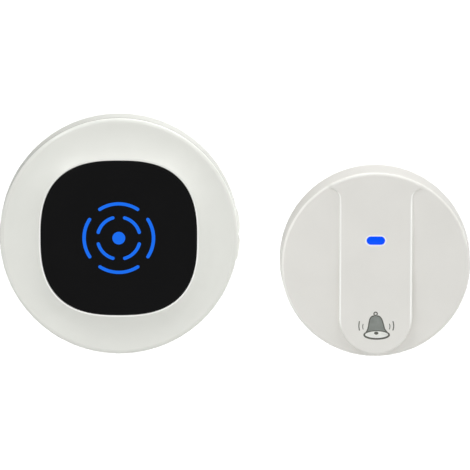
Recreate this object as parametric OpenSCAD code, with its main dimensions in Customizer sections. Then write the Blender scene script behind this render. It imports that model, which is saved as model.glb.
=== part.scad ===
// Wireless doorbell set: a round plug-in chime with a lit glossy panel and two side keys,
// and a round push button whose whole cover rocks on a pin at its top.
// Both units hang on one wall plane, Y = 0. Their faces look towards -Y and +Z is up.
// The origin is the centre of the chime's back face.
// Each unit is drawn lying on its back, with its own Z towards the viewer, and then stood up.

/* [Chime housing] */
// Radius of the chime's round side wall
chime_r = 40; // [38:0.5:44]
// Height of the front shell's back edge above the wall
part_line_z = 13; // [11:0.5:15]
// Depth of the front shell's side wall, from its back edge to the ring
shell_depth = 11.4; // [11:0.2:13]
// Rise of the front surface from the ring to the panel's edge
panel_rise = 3.1; // [2.4:0.1:4]
// Fillet between the side wall and the ring
ring_fillet = 1.5; // [1:0.25:3]
// Taper of the side wall from its back edge to the fillet
wall_draft = 0.35; // [0.2:0.05:0.6]
// Width of the flat ring beside the fillet
ring_flat = 2.7; // [1.6:0.1:3.2]
// Side wall thickness of both shells
shell_wall = 2; // [1.6:0.1:2.2]
// Thickness of the front skin
front_skin = 2.2; // [1.8:0.1:2.6]
// Distance that the back face's edge lies inside the side wall
back_inset = 3.6; // [3:0.2:5]
// Fillet round the back face
back_fillet = 4; // [2.5:0.5:5]
// Width that the rear shell falls short of the front shell, all round
shadow_step = 0.8; // [0.4:0.1:1.2]
// Depth that the rear shell's rim reaches into the front shell
spigot_depth = 2.2; // [1.5:0.1:2.6]

/* [Chime panel] */
// Half width of the glossy panel
panel_half = 26; // [24:0.5:28]
// Power of the panel's rounded-square outline, 2 is a circle
panel_power = 2.665; // [2.2:0.005:3.4]
// Thickness of the panel
panel_t = 2; // [1.6:0.1:2.4]
// Rounding of the panel's front edge
panel_edge = 0.5; // [0.2:0.1:0.8]
// Width of the ledge that carries the panel
ledge_w = 2; // [1.5:0.25:3]
// Width of the lit lines
line_w = 1.05; // [0.8:0.05:1.4]
// Outer radius of the lit figure
figure_r = 12.1; // [10:0.1:13]
// Mean radius of the inner lit ring
inner_ring_r = 7.1; // [6:0.1:8]
// Radius of the lit dot in the middle
dot_r = 2.1; // [1.2:0.1:3]
// Angle that each outer arc spans
outer_span = 66; // [50:1:76]
// Angle that each inner arc spans
inner_span = 58; // [40:1:72]
// Thickness of the light guide's plate
guide_t = 1.6; // [1.2:0.1:2]

/* [Chime keys] */
// Height of each side key
key_h = 8.4; // [6:0.2:10]
// Gap between the two side keys
key_gap = 1; // [0.9:0.1:2]
// Width of each side key, front to back
key_w = 4.4; // [3.6:0.2:5]
// How far the keys stand out of the wall
key_proud = 0.8; // [0.6:0.1:1.2]
// Travel of a side key
key_travel = 0.4; // [0.2:0.05:0.5]
// Clearance round a key in its window
key_clear = 0.15; // [0.1:0.05:0.3]

/* [Chime plug] */
// Height of the plug's centre above the chime's centre
plug_y = 12; // [10:0.5:14]
// Length of the plug's body behind the wall plane
plug_boss = 16; // [14:0.5:17]
// Width of the plug's body
plug_w = 35.3; // [34:0.1:36]
// Height of the plug's body
plug_h = 13.7; // [13:0.1:14]
// Radius of a plug pin
pin_r = 2; // [1.9:0.05:2.4]
// Free length of a plug pin
pin_len = 19; // [18:0.5:20]
// Distance between the two pins
pin_pitch = 19; // [18:0.1:19.2]

/* [Chime inside] */
// Gap between the main board's edge and the side wall
board_gap = 3.6; // [3.4:0.1:5]
// Thickness of the main board
board_t = 1.6; // [1:0.1:1.6]
// Gap from the parting plane to the main board
board_lift = 1.5; // [1:0.1:2]
// Radius of the loudspeaker
speaker_r = 15; // [12:0.5:15.5]
// Height of the loudspeaker's centre below the chime's centre
speaker_drop = 15; // [14.5:0.25:15.5]
// Width of a sound slot
slot_w = 1.5; // [1:0.1:2]
// Distance between two sound slots
slot_pitch = 3.2; // [2.8:0.1:4]
// Distance of the case screws from the chime's side wall
boss_inset = 9.2; // [9:0.2:10]
// Radius of a case screw
screw_r = 1.2; // [1:0.1:1.4]

/* [Button cover] */
// Distance from the chime's centre to the button's centre, sideways
button_x = 86; // [82:0.5:100]
// Distance that the button's centre lies below the chime's centre
button_drop = 11.3; // [0:0.1:20]
// Radius of the button cover at its back edge
cover_back_r = 32.2; // [31.8:0.1:33]
// Amount by which the cover's side wall draws in towards its rim
cover_draft = 0.4; // [0.1:0.1:0.8]
// Gap from the wall to the cover's back edge, in which the cover rocks
cover_gap = 1.6; // [1.3:0.1:2]
// Depth of the cover at its centre, from the back edge to the wings
cover_depth = 12.7; // [12.4:0.1:14]
// Slope of the two wings, thin end down
wing_tilt = 4.9; // [4:0.1:5.2]
// Fillet round the rim
rim_fillet = 0.9; // [0.5:0.1:1.2]
// Side wall thickness of the cover
cover_wall = 1.5; // [1.2:0.1:1.6]
// Front wall thickness of the cover
cover_front = 1.8; // [1.4:0.1:2]

/* [Button press bar] */
// Half width of the raised bar
bar_half = 12.2; // [11.4:0.1:12.6]
// Distance from the bar's lower end to the cover's side wall
bar_end_gap = 1.4; // [1.2:0.1:2.4]
// Radius of the flare at the bar's upper end
flare_r = 3.7; // [3:0.1:4.5]
// Step from the wings up to the bar at the top of the flare
step_top = 0.5; // [0.3:0.1:0.8]
// Step from the wings up to the bar at its lower end
step_low = 3; // [2.4:0.1:3.4]
// Fillet along the bar's edges
bar_fillet = 0.6; // [0.4:0.1:0.8]
// Height of the lens above the button's centre
lens_y = 8.6; // [7.6:0.1:10]
// Width of the lens
lens_w = 6; // [5:0.1:7]
// Height of the lens
lens_h = 2.75; // [2.2:0.05:3.2]

/* [Button works] */
// Angle that the cover rocks through
rock_angle = 1; // [0.6:0.1:1.1]
// Distance of the hinge pin's axis from the base's edge
hinge_inset = 3.6; // [3.4:0.1:4]
// Distance from the wall to the hinge pin's axis
hinge_z = 5.2; // [5:0.1:5.6]
// Radius of the hinge pin
hinge_r = 1; // [0.8:0.05:1.2]
// Height of the switch above the button's centre
switch_y = 2; // [0:0.25:2.5]
// Gap between the base and the cover's side wall
base_gap = 0.7; // [0.5:0.1:1]
// Wall thickness of the base
base_wall = 1.6; // [1.2:0.1:2]
// Floor thickness of the base
base_floor = 1.2; // [1:0.1:1.4]
// Thickness of the inner lid
lid_t = 1.2; // [1:0.1:1.3]
// Thickness of the lid's seal
seal_t = 0.6; // [0.4:0.1:0.8]
// Radius of the coin cell
cell_r = 10; // [8:0.5:10]
// Thickness of the coin cell
cell_t = 3.2; // [2.5:0.1:3.2]
// Distance from the button's centre down to the coin cell's centre
cell_drop = 8; // [7:0.25:9]

/* [Button wall plate] */
// Width of the base's skirt round the wall plate
skirt_w = 2.4; // [2:0.1:3]
// Thickness of the wall plate
plate_t = 2.4; // [2:0.1:2.6]
// Distance between the two wall screws
wall_screw_pitch = 42; // [40:0.5:44]
// Radius of a wall screw's hole
wall_screw_r = 2; // [1.6:0.1:2.2]
// Width of a tape strip
tape_w = 10; // [8:0.5:11]
// Length of a tape strip
tape_h = 26; // [20:0.5:27]
// Thickness of the tape strips
tape_t = 0.8; // [0.5:0.1:1]

/* [Hidden] */
// Clearance of a fixed seat, a running pin and a pressed contact
fit = 0.05;
run = 0.04;
touch = 0.1;
eps = 0.01;
sides = 96;
rounds = 64;
big = 60;

back_r = chime_r - back_inset;
rim_z = part_line_z + shell_depth;
lip_z = rim_z + panel_rise;
flare_power = 1.9;
flare_rows = 8;
flare_sink = 0.05;
flat_r = chime_r - ring_fillet - ring_flat + 1.9;
ring_inner_r = chime_r - ring_fillet - ring_flat;
panel_front_z = lip_z - 0.1;
panel_back_z = panel_front_z - panel_t;
panel_gap = 0.15;
lip_land = 0.35;
skirt_r = chime_r - shell_wall;
edge_r = chime_r - shadow_step;
spigot_r = skirt_r - 0.3;
spigot_t = 1.8;
guide_r = figure_r + 3;
guide_front_z = panel_back_z - fit;
guide_back_z = guide_front_z - guide_t;
outer_arc_r = figure_r - line_w / 2;
board_r = skirt_r - board_gap;
board_z = part_line_z + board_lift;
board_front_z = board_z + board_t;
fuse_inset = 8.9;
key_z = board_front_z + 2;
key_in_r = skirt_r - 1.7;
key_rim = 0.8;
key_stem_x = key_in_r - 1;
switch_w = 4.6;
switch_depth = 4;
side_switch_x = key_stem_x - 1.9;
side_stem_r = 0.9;
side_stem_in = 1.2;
floor_t = shell_wall;
boss_ring_r = chime_r - boss_inset;
boss_angles = [38, 142, 218, 322];
boss_outer_r = 3.4;
boss_well_r = 2.6;
boss_head_z = 7;
screw_head_r = 2.3;
screw_head_t = 1.6;
flange_h = plug_h / 2 + 1.1;
flange_w = plug_w / 2 + 1.1;
flange_t = 1.8;
pin_root_r = pin_r + 0.4;
speaker_y = -speaker_drop;
speaker_ring_t = 1.3;
gasket_t = 0.8;
cloth_t = 0.3;
cloth_r = speaker_r - 2.2;
grille_r = speaker_r - 3.4;
magnet_z = floor_t + 5.6;
magnet_t = 3.4;
magnet_r = speaker_r - 7;
receiver_w = 13;
receiver_y = -board_r + 4.4;
antenna_ring = board_r - 8.8;
antenna_wire_r = 0.5;
antenna_start = 150;
antenna_end = 270 - asin((receiver_w / 2 + antenna_wire_r + touch) / antenna_ring);
shroud_r = guide_r + 0.6;
shroud_t = 1.4;

tilt_slope = tan(wing_tilt);
wing_z0 = cover_gap + cover_depth;
cover_front_r = cover_back_r - cover_draft;
cavity_r = cover_front_r - cover_wall;
bar_low = cover_front_r - bar_end_gap - bar_half;
flare_y = sqrt(pow(cover_front_r - rim_fillet, 2) - pow(bar_half + flare_r, 2)) - flare_r;
base_r = cavity_r - base_gap;
plate_r = base_r - skirt_w - 0.3;
hinge_y = base_r - hinge_inset;
flat_y = hinge_y - 3.6;
step_top_y = hinge_y;
step_low_y = -(bar_low + bar_half);
step_slope = (step_low - step_top) / (step_top_y - step_low_y);
bar_slope = tilt_slope - step_slope;
bar_tilt = atan(bar_slope);
bar_z0 = wing_z0 + step_top + step_slope * step_top_y;
bar_rim_r = cover_front_r - fit;
lid_drop = 1.35;
lid_front_z0 = wing_z0 - cover_front - lid_drop;
lid_back_z0 = lid_front_z0 - lid_t;
floor_back_z = plate_t;
floor_front_z = floor_back_z + base_floor;
leaf_t = 0.3;
cell_z = floor_front_z + 0.4;
cell_top_z = cell_z + cell_t;
pcb_z = cell_top_z + leaf_t;
pcb_t = 1;
pcb_front_z = pcb_z + pcb_t;
pcb_r = base_r - base_wall - 1.6;
pcb_low_y = -13;
pcb_high_y = flat_y - base_wall - 0.2;
crystal_y = pcb_high_y - 6.1;
crystal_w = 3.2;
crystal_gap = 2.5;
chip_h = 4.4;
chip_y = crystal_y - crystal_w / 2 - crystal_gap - chip_h;
switch_body_t = 2.5;
switch_top_z = pcb_front_z + switch_body_t;
stem_r = 1.7;
stem_top_z = switch_top_z + 1.3;
stem_in = 1;
cap_bottom_z = switch_top_z + 0.5;
cap_top_z = stem_top_z + 0.6;
cap_r = 3.8;
cap_clear = 0.6;
lever = hinge_y - switch_y;
stem_travel = lever * rock_angle * PI / 180;
post_r = 2;
ear_t = 2;
cover_ear_x = 6;
base_ear_x = cover_ear_x + ear_t + 0.4;
ear_r = 1.9;
pin_half = base_ear_x + ear_t + 0.2;
lid_boss_r = 2.3;
lid_boss_ring = base_r - base_wall - lid_boss_r + 0.2;
lid_screw_spots = [for (a = [34, 146, -43, -137]) lid_boss_ring * [cos(a), sin(a)]];
lid_screw_r = 0.9;
lid_head_r = 1.7;
lid_head_t = 0.8;
door_r = cell_r + 2;
door_tab = 1;
latch_x = plate_r - 5.5;
latch_h = 8;
latch_t = 1.2;
latch_reach = 0.9;
latch_slack = 1.4;
tape_x = tape_w / 2 + 6.5;
catch_angle = 24;

WHITE = [0.90, 0.90, 0.87];
FACE = [0.86, 0.86, 0.83];
BLACK = [0.06, 0.06, 0.06];
GLOW = [0.10, 0.35, 0.95];
GREEN = [0.10, 0.36, 0.22];
STEEL = [0.72, 0.73, 0.75];
BRASS = [0.80, 0.66, 0.35];
RUBBER = [0.20, 0.20, 0.21];
COPPER = [0.78, 0.45, 0.25];
CHIP = [0.12, 0.12, 0.13];
AMBER = [0.88, 0.72, 0.30];

// Stands the chime up with its back on the wall plane
module on_chime() { rotate([90, 0, 0]) children(); }

// Stands the button up beside the chime
module on_button() { translate([button_x, 0, -button_drop]) rotate([90, 0, 0]) children(); }

function squircle_r(angle, half) =
  half / pow(pow(abs(cos(angle)), panel_power) + pow(abs(sin(angle)), panel_power), 1 / panel_power);

function squircle(half) =
  [for (i = [0:sides - 1]) let (a = i * 360 / sides) squircle_r(a, half) * [cos(a), sin(a)]];

// A row of points at height z, part way from a circle of radius r to the panel's outline
function blend_row(r, half, share, z) =
  [for (i = [0:sides - 1])
    let (a = i * 360 / sides, d = (1 - share) * r + share * squircle_r(a, half))
    [d * cos(a), d * sin(a), z]];

function at_height(points, z) = [for (p = points) [p[0], p[1], z]];

function wing_z(y) = wing_z0 + tilt_slope * y;

function bar_z(y) = bar_z0 + bar_slope * y;

// Closed skin through rows with equal counts: the side faces join row to row,
// and the ends are capped, or joined to each other in a ring
module skin(rows, ring = false) {
  n = len(rows[0]);
  last = len(rows) - (ring ? 0 : 1);
  side = [for (i = [0:last - 1]) for (j = [0:n - 1])
    let (k = (i + 1) % len(rows), m = (j + 1) % n)
    for (face = [[i * n + j, k * n + j, k * n + m], [i * n + j, k * n + m, i * n + m]]) face];
  low_cap = [for (j = [0:n - 1]) j];
  high_cap = [for (j = [n - 1:-1:0]) (len(rows) - 1) * n + j];
  polyhedron(points = [for (row = rows) for (p = row) p],
    faces = ring ? side : concat(side, [low_cap, high_cap]));
}

// Stadium of overall width w and height h, centred
module stadium(w, h) {
  square([w - h, h], center = true);
  for (s = [-1, 1])
    translate([s * (w - h) / 2, 0])
      circle(d = h, $fn = rounds);
}

// Band along a circle of radius r from an angle over a span, with round ends
module arc_band(r, w, from, span) {
  steps = 12;
  cap_steps = 6;
  side = function (radius, t) radius * [cos(from + t * span), sin(from + t * span)];
  cap = function (angle, turn)
    r * [cos(angle), sin(angle)] + w / 2 * [cos(angle + turn), sin(angle + turn)];
  polygon(concat(
    [for (i = [0:steps]) side(r + w / 2, i / steps)],
    [for (i = [1:cap_steps - 1]) cap(from + span, i * 180 / cap_steps)],
    [for (i = [steps:-1:0]) side(r - w / 2, i / steps)],
    [for (i = [1:cap_steps - 1]) cap(from, 180 + i * 180 / cap_steps)]
  ));
}

// The lit figure: a dot and two rings, each broken into four arcs that are set half a turn apart
module lit_figure(grow) {
  circle(r = dot_r + grow, $fn = rounds);
  for (q = [0:3]) {
    arc_band(inner_ring_r, line_w + 2 * grow, q * 90 + 45 - inner_span / 2, inner_span);
    arc_band(outer_arc_r, line_w + 2 * grow, q * 90 - outer_span / 2, outer_span);
  }
}

module ring_tube(outer, inner, low, high) {
  translate([0, 0, low])
    difference() {
      cylinder(r = outer, h = high - low, $fn = sides);
      translate([0, 0, -eps])
        cylinder(r = inner, h = high - low + 2 * eps, $fn = sides);
    }
}

module disc(r, low, high) { translate([0, 0, low]) cylinder(r = r, h = high - low, $fn = sides); }

// Half space under a plane that climbs with y at the given angle and passes z0 at y = 0
module under_plane(z0, angle) {
  translate([0, 0, z0])
    rotate([angle, 0, 0])
      translate([-big, -big, -big])
        cube([2 * big, 2 * big, big]);
}

// The front skin's closed section: up inside the ring, over the flare to the lip,
// down to the panel's ledge and back underneath
function front_rows() =
  let (
    half_in = panel_half - ledge_w,
    under_z = rim_z - front_skin,
    flare_z = function (t) rim_z - flare_sink + (panel_rise + flare_sink) * pow(t, flare_power)
  )
  concat(
    [blend_row(flat_r - 1, panel_half, 0, under_z), blend_row(flat_r, panel_half, 0, under_z + 0.5)],
    [for (i = [0:flare_rows]) let (t = i / flare_rows)
      blend_row(flat_r, panel_half + panel_gap + lip_land, t, flare_z(t))],
    [blend_row(flat_r, panel_half + panel_gap, 1, lip_z),
     blend_row(flat_r, panel_half + panel_gap, 1, panel_back_z),
     blend_row(flat_r, half_in, 1, panel_back_z),
     blend_row(flat_r, half_in, 1, panel_back_z - guide_t),
     blend_row(flat_r, panel_half, 0.6, under_z + 0.4)]
  );

// Side wall and ring of the front shell, turned in one piece
module chime_wall_ring() {
  rim_r = chime_r - wall_draft;
  fillet_c = [rim_r - ring_fillet, rim_z - ring_fillet];
  rotate_extrude($fn = sides)
    difference() {
      union() {
        translate([ring_inner_r, part_line_z])
          square([fillet_c[0] - ring_inner_r, shell_depth]);
        polygon([[ring_inner_r, part_line_z], [chime_r, part_line_z],
                 [rim_r, fillet_c[1]], [ring_inner_r, fillet_c[1]]]);
        translate(fillet_c)
          circle(r = ring_fillet, $fn = rounds);
      }
      translate([0, part_line_z - 1])
        square([skirt_r, shell_depth - front_skin + 1.2]);
    }
}

module key_window(side) {
  low = side * (key_gap + key_h) / 2 - key_h / 2 - key_clear;
  translate([skirt_r - 4, low, key_z - key_w / 2 - key_clear])
    cube([8, key_h + 2 * key_clear, key_w + 2 * key_clear]);
}

module at_bosses(r) {
  for (a = boss_angles)
    rotate(a)
      translate([r, 0, 0])
        children();
}

// Chime: moulded front shell, with the panel's ledge and four screw bosses
module chime_front_shell() {
  boss_z = board_front_z + 0.05;
  color(WHITE)
    on_chime()
      difference() {
        union() {
          chime_wall_ring();
          skin(front_rows(), ring = true);
          at_bosses(boss_ring_r)
            disc(boss_outer_r, boss_z, rim_z - 0.4);
        }
        for (side = [-1, 1])
          key_window(side);
        at_bosses(boss_ring_r)
          disc(screw_r + 0.02, boss_z - 1, rim_z - front_skin - 1);
      }
}

// Chime: rear shell, a shallow dish with the plug opening, sound slots, screw wells and spigot
module chime_rear_shell() {
  c = [back_r - back_fillet, back_fillet];
  ci = [back_r - back_fillet, back_fillet];
  ri = back_fillet - floor_t;
  color(WHITE)
    on_chime()
      difference() {
        union() {
          difference() {
            rotate_extrude($fn = sides)
              union() {
                square([c[0], part_line_z]);
                polygon([[c[0], back_fillet], [back_r, back_fillet], [edge_r, part_line_z],
                  [c[0], part_line_z]]);
                translate(c)
                  intersection() {
                    circle(r = back_fillet, $fn = rounds);
                    translate([0, -back_fillet])
                      square(back_fillet);
                  }
              }
            rotate_extrude($fn = sides)
              union() {
                translate([0, floor_t])
                  square([ci[0], part_line_z]);
                polygon([[ci[0] - eps, back_fillet - eps], [ci[0] + ri, back_fillet - eps],
                  [edge_r - floor_t, part_line_z + 1], [ci[0] - eps, part_line_z + 1]]);
                translate(ci)
                  intersection() {
                    circle(r = ri, $fn = rounds);
                    translate([0, -ri])
                      square(ri);
                  }
              }
          }
          difference() {
            ring_tube(spigot_r, spigot_r - spigot_t, part_line_z - 1.2, part_line_z + spigot_depth);
            translate([skirt_r - 8, -key_h - key_gap - 2, part_line_z])
              cube([10, 2 * (key_h + key_gap + 2), spigot_depth + 1]);
          }
          at_bosses(boss_ring_r)
            disc(boss_outer_r, floor_t - eps, board_z - 0.05);
          translate([0, speaker_y, 0])
            ring_tube(speaker_r + speaker_ring_t + 0.1, speaker_r + 0.1, floor_t - eps, floor_t + 2.2);
        }
        translate([0, plug_y, -1])
          linear_extrude(floor_t + 2)
            plug_outline(plug_w + 2 * fit, plug_h + 2 * fit);
        translate([0, speaker_y, 0])
          disc(speaker_r + fit, floor_t + eps, floor_t + 2.2);
        sound_slots();
        at_bosses(boss_ring_r) {
          disc(boss_well_r, -1, boss_head_z);
          disc(screw_r + 0.3, -1, board_z + 1);
        }
      }
}

// Horizontal slots that fill a circle in front of the loudspeaker
module sound_slots() {
  rows = floor(grille_r / slot_pitch);
  translate([0, speaker_y, -1])
    linear_extrude(floor_t + 2)
      for (i = [-rows:rows])
        translate([0, i * slot_pitch])
          stadium(2 * sqrt(pow(grille_r, 2) - pow(i * slot_pitch, 2)) + slot_w, slot_w);
}

// Outline of a flat two-pin plug: a bar with its four corners cut back
module plug_outline(w, h) {
  corner_x = 3.6;
  corner_y = h / 2 - 2.4;
  polygon([for (s = [[1, 1], [-1, 1], [-1, -1], [1, -1]])
    for (p = s[0] * s[1] > 0 ? [[0, corner_y], [-corner_x, h / 2]] : [[-corner_x, h / 2], [0, corner_y]])
      [s[0] * (w / 2 + p[0]), s[1] * p[1]]]);
}

// Chime: plug insert, held by its flange inside the rear shell
module plug_insert() {
  color(WHITE)
    on_chime()
      translate([0, plug_y, 0])
        difference() {
          union() {
            translate([0, 0, -plug_boss])
              linear_extrude(plug_boss + floor_t + fit)
                plug_outline(plug_w, plug_h);
            translate([0, 0, floor_t])
              linear_extrude(flange_t)
                square([2 * flange_w, 2 * flange_h], center = true);
          }
          for (s = [-1, 1])
            translate([s * pin_pitch / 2, 0, -plug_boss - 1])
              cylinder(r = pin_root_r + 0.02, h = plug_boss + floor_t + flange_t + 2, $fn = rounds);
        }
}

// Chime: two round plug pins with chamfered tips, pressed through the insert
module plug_pins() {
  tip = 0.8;
  inner_z = floor_t + flange_t + 1.4;
  tip_z = -plug_boss - pin_len;
  color(STEEL)
    on_chime()
      for (s = [-1, 1])
        translate([s * pin_pitch / 2, plug_y, 0])
          rotate_extrude($fn = rounds)
            polygon([[0, tip_z], [pin_r - tip, tip_z], [pin_r, tip_z + tip], [pin_r, -plug_boss],
              [pin_root_r, -plug_boss], [pin_root_r, inner_z], [0, inner_z]]);
}

// Chime: spring leaves that carry the mains from the pins up to the board
module mains_contacts() {
  low_z = floor_t + flange_t + 1.4;
  leaf = 0.5;
  color(BRASS)
    on_chime()
      for (s = [-1, 1])
        translate([s * pin_pitch / 2, plug_y, 0]) {
          translate([-2, -2, low_z])
            cube([4, 6, leaf]);
          translate([-2, 4 - leaf, low_z])
            cube([4, leaf, board_z - low_z]);
        }
}

// Chime: glossy panel with windows for the lit figure
module display_panel() {
  wall_z = panel_front_z - panel_edge;
  color(BLACK)
    on_chime()
      difference() {
        skin(concat(
          [at_height(squircle(panel_half), panel_back_z), at_height(squircle(panel_half), wall_z)],
          [for (i = [1:4]) let (a = i * 22.5)
            at_height(squircle(panel_half - panel_edge * (1 - cos(a))), wall_z + panel_edge * sin(a))]
        ));
        translate([0, 0, panel_back_z - 1])
          linear_extrude(panel_t + 2)
            lit_figure(fit);
      }
}

// Chime: clear guide whose raised lines fill the panel's windows
module light_guide() {
  color(GLOW)
    on_chime()
      union() {
        disc(guide_r, guide_back_z, guide_front_z);
        translate([0, 0, guide_front_z - eps])
          linear_extrude(panel_front_z - guide_front_z - fit)
            lit_figure(0);
      }
}

// Chime: tube between board and guide that keeps the light in
module light_shroud() {
  color(WHITE)
    on_chime()
      ring_tube(shroud_r, shroud_r - shroud_t, board_front_z, guide_back_z);
}

// Chime: four surface-mounted lights under the figure
module display_leds() {
  color(GLOW)
    on_chime()
      for (q = [0:3])
        rotate(q * 90 + 45)
          translate([8.5, 0, board_front_z + 0.95])
            cube([3.5, 2.8, 1.9], center = true);
}

// Chime: main circuit board, notched round the four bosses
module main_board() {
  color(GREEN)
    on_chime()
      difference() {
        disc(board_r, board_z, board_front_z);
        at_bosses(boss_ring_r)
          disc(screw_r + 0.3, board_z - 1, board_front_z + 1);
      }
}

// Curved key that fills its window, with a rim behind the wall and a nose towards its switch
module side_key(side) {
  y = side * (key_gap + key_h) / 2;
  on_chime()
    union() {
      translate([0, 0, key_z - key_w / 2])
        linear_extrude(key_w)
          intersection() {
            difference() {
              circle(r = chime_r + key_proud, $fn = sides);
              circle(r = key_in_r, $fn = sides);
            }
            translate([key_in_r - 4, y - key_h / 2])
              square([12, key_h]);
          }
      translate([0, 0, key_z - key_w / 2 - key_rim])
        linear_extrude(key_w + 2 * key_rim)
          intersection() {
            difference() {
              circle(r = skirt_r - key_clear, $fn = sides);
              circle(r = key_in_r, $fn = sides);
            }
            translate([key_in_r - 4, y - key_h / 2])
              square([12, key_h]);
          }
      translate([key_stem_x, y - 1.2, key_z - 1.2])
        cube([2.2, 2.4, 2.4]);
    }
}

// Chime: upper side key, steps through the melodies
module melody_key() { color(WHITE) side_key(1); }

// Chime: lower side key, steps through the loudness levels
module volume_key() { color(WHITE) side_key(-1); }

// Sideways push switch on the board's edge, bored for its stem
module side_switch(side) {
  y = side * (key_gap + key_h) / 2;
  on_chime()
    difference() {
      translate([side_switch_x - switch_depth, y - switch_w / 2, board_front_z])
        cube([switch_depth, switch_w, 3.6]);
      translate([side_switch_x - side_stem_in - key_travel - 0.4, y, key_z])
        rotate([0, 90, 0])
          cylinder(r = side_stem_r + run, h = 4, $fn = rounds);
    }
}

module side_stem(side) {
  y = side * (key_gap + key_h) / 2;
  start_x = side_switch_x - side_stem_in;
  on_chime()
    translate([start_x, y, key_z])
      rotate([0, 90, 0])
        cylinder(r = side_stem_r, h = key_stem_x - touch - start_x, $fn = rounds);
}

// Chime: push switch behind the melody key
module melody_switch() { color(CHIP) side_switch(1); }

// Chime: push switch behind the volume key
module volume_switch() { color(CHIP) side_switch(-1); }

// Chime: stem of the melody switch
module melody_switch_stem() { color(WHITE) side_stem(1); }

// Chime: stem of the volume switch
module volume_switch_stem() { color(WHITE) side_stem(-1); }

module on_speaker() { on_chime() translate([0, speaker_y, 0]) children(); }

// Chime: foam ring under the loudspeaker
module speaker_gasket() {
  color(RUBBER)
    on_speaker()
      ring_tube(speaker_r, cloth_r + 0.2, floor_t, floor_t + gasket_t);
}

// Chime: pressed steel basket of the loudspeaker
module speaker_frame() {
  z = floor_t + gasket_t;
  color(STEEL)
    on_speaker()
      rotate_extrude($fn = sides)
        polygon([[speaker_r, z], [speaker_r, z + 0.7], [speaker_r - 1.4, z + 0.7],
          [8.6, magnet_z], [6, magnet_z], [6, magnet_z - 0.7], [8.2, magnet_z - 0.7],
          [speaker_r - 2, z + 0.45], [speaker_r - 2, z]]);
}

// Chime: paper cone with its dust cap, facing the sound slots
module speaker_cone() {
  z = floor_t + gasket_t;
  color(CHIP)
    on_speaker()
      rotate_extrude($fn = sides)
        polygon([[speaker_r - 2, z + 0.05], [speaker_r - 2, z + 0.4], [speaker_r - 3, z + 0.7],
          [5.4, magnet_z - 1.2], [0, magnet_z - 1.9], [0, magnet_z - 2.3], [5.2, magnet_z - 1.7],
          [speaker_r - 3.2, z + 0.3], [speaker_r - 2.6, z + 0.05]]);
}

// Chime: magnet behind the basket
module speaker_magnet() {
  color(CHIP)
    on_speaker()
      difference() {
        disc(magnet_r, magnet_z, magnet_z + magnet_t);
        disc(1.4, magnet_z + 1, magnet_z + magnet_t + 1);
      }
}

// Chime: cloth over the sound slots, inside the gasket
module grille_cloth() { color(CHIP) on_speaker() disc(cloth_r, floor_t, floor_t + cloth_t); }

// Chime: small mains transformer under the board
module power_transformer() {
  color(AMBER)
    on_chime()
      translate([-board_r + 1.4, -8.2, board_z])
        union() {
          translate([1.6, 2, -9])
            cube([10.4, 10, 9]);
          translate([0, 4.5, -7.5])
            cube([13.6, 5, 6]);
        }
}

// Chime: filter capacitor under the board
module filter_capacitor() {
  color(CHIP)
    on_chime()
      translate([board_r - 9.4, 0, board_z])
        mirror([0, 0, 1])
          rotate_extrude($fn = rounds)
            polygon([[0, 0], [4, 0], [4, 1.2], [3.7, 1.6], [4, 2], [4, 9.6], [3.6, 10], [0, 10]]);
}

// Chime: fuse on the board above the plug
module mains_fuse() {
  color(STEEL)
    on_chime()
      translate([-6, board_r - fuse_inset, board_z - 2.6])
        rotate([0, 90, 0])
          rotate_extrude($fn = rounds)
            polygon([[0, 0], [2.6, 0], [2.6, 2.4], [2.2, 2.4], [2.2, 9.6], [2.6, 9.6], [2.6, 12], [0, 12]]);
}

// Chime: melody chip on the board's front
module melody_chip() {
  color(CHIP)
    on_chime()
      translate([-3.2, shroud_r + 1.9, board_front_z])
        cube([6.4, 6.4, 1.6]);
}

// Chime: radio receiver module on the board's front
module receiver_module() {
  color(GREEN)
    on_chime()
      translate([-receiver_w / 2, receiver_y, board_front_z])
        union() {
          cube([receiver_w, 9, 1]);
          translate([2, 2, 1])
            cube([5, 5, 1.3]);
          translate([8.4, 3, 1])
            cube([3.4, 3.4, 1]);
        }
}

// Chime: wire aerial laid along the board's edge
module chime_antenna() {
  color(COPPER)
    on_chime()
      rotate([0, 0, antenna_start])
        rotate_extrude(angle = antenna_end - antenna_start, $fn = sides)
          translate([antenna_ring, board_front_z + antenna_wire_r])
            circle(r = antenna_wire_r, $fn = rounds);
}

// Chime: four screws, driven from the back
module chime_screws() {
  color(STEEL)
    on_chime()
      at_bosses(boss_ring_r) {
        disc(screw_head_r, boss_head_z - screw_head_t, boss_head_z);
        disc(screw_r, boss_head_z - eps, rim_z - front_skin - 2);
      }
}

// Outline of the raised bar, drawn in by the given amount: round below, straight sides,
// flares at the top and the rim's own arc between them
function bar_outline(inset) =
  let (
    low_steps = 24,
    flare_steps = 8,
    rim_steps = 20,
    fx = bar_half + flare_r,
    fr = flare_r + inset,
    top_y = flare_y + fr,
    r = bar_rim_r - inset,
    a0 = asin(top_y / r)
  )
  concat(
    [for (i = [0:low_steps]) let (a = 180 + i * 180 / low_steps)
      [(bar_half - inset) * cos(a), -bar_low + (bar_half - inset) * sin(a)]],
    [for (i = [0:flare_steps]) let (a = 180 - i * 90 / flare_steps)
      [fx + fr * cos(a), flare_y + fr * sin(a)]],
    [for (i = [0:rim_steps]) let (a = a0 + i * (180 - 2 * a0) / rim_steps) [r * cos(a), r * sin(a)]],
    [for (i = [flare_steps:-1:0]) let (a = 180 - i * 90 / flare_steps)
      [-fx - fr * cos(a), flare_y + fr * sin(a)]]
  );

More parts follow.
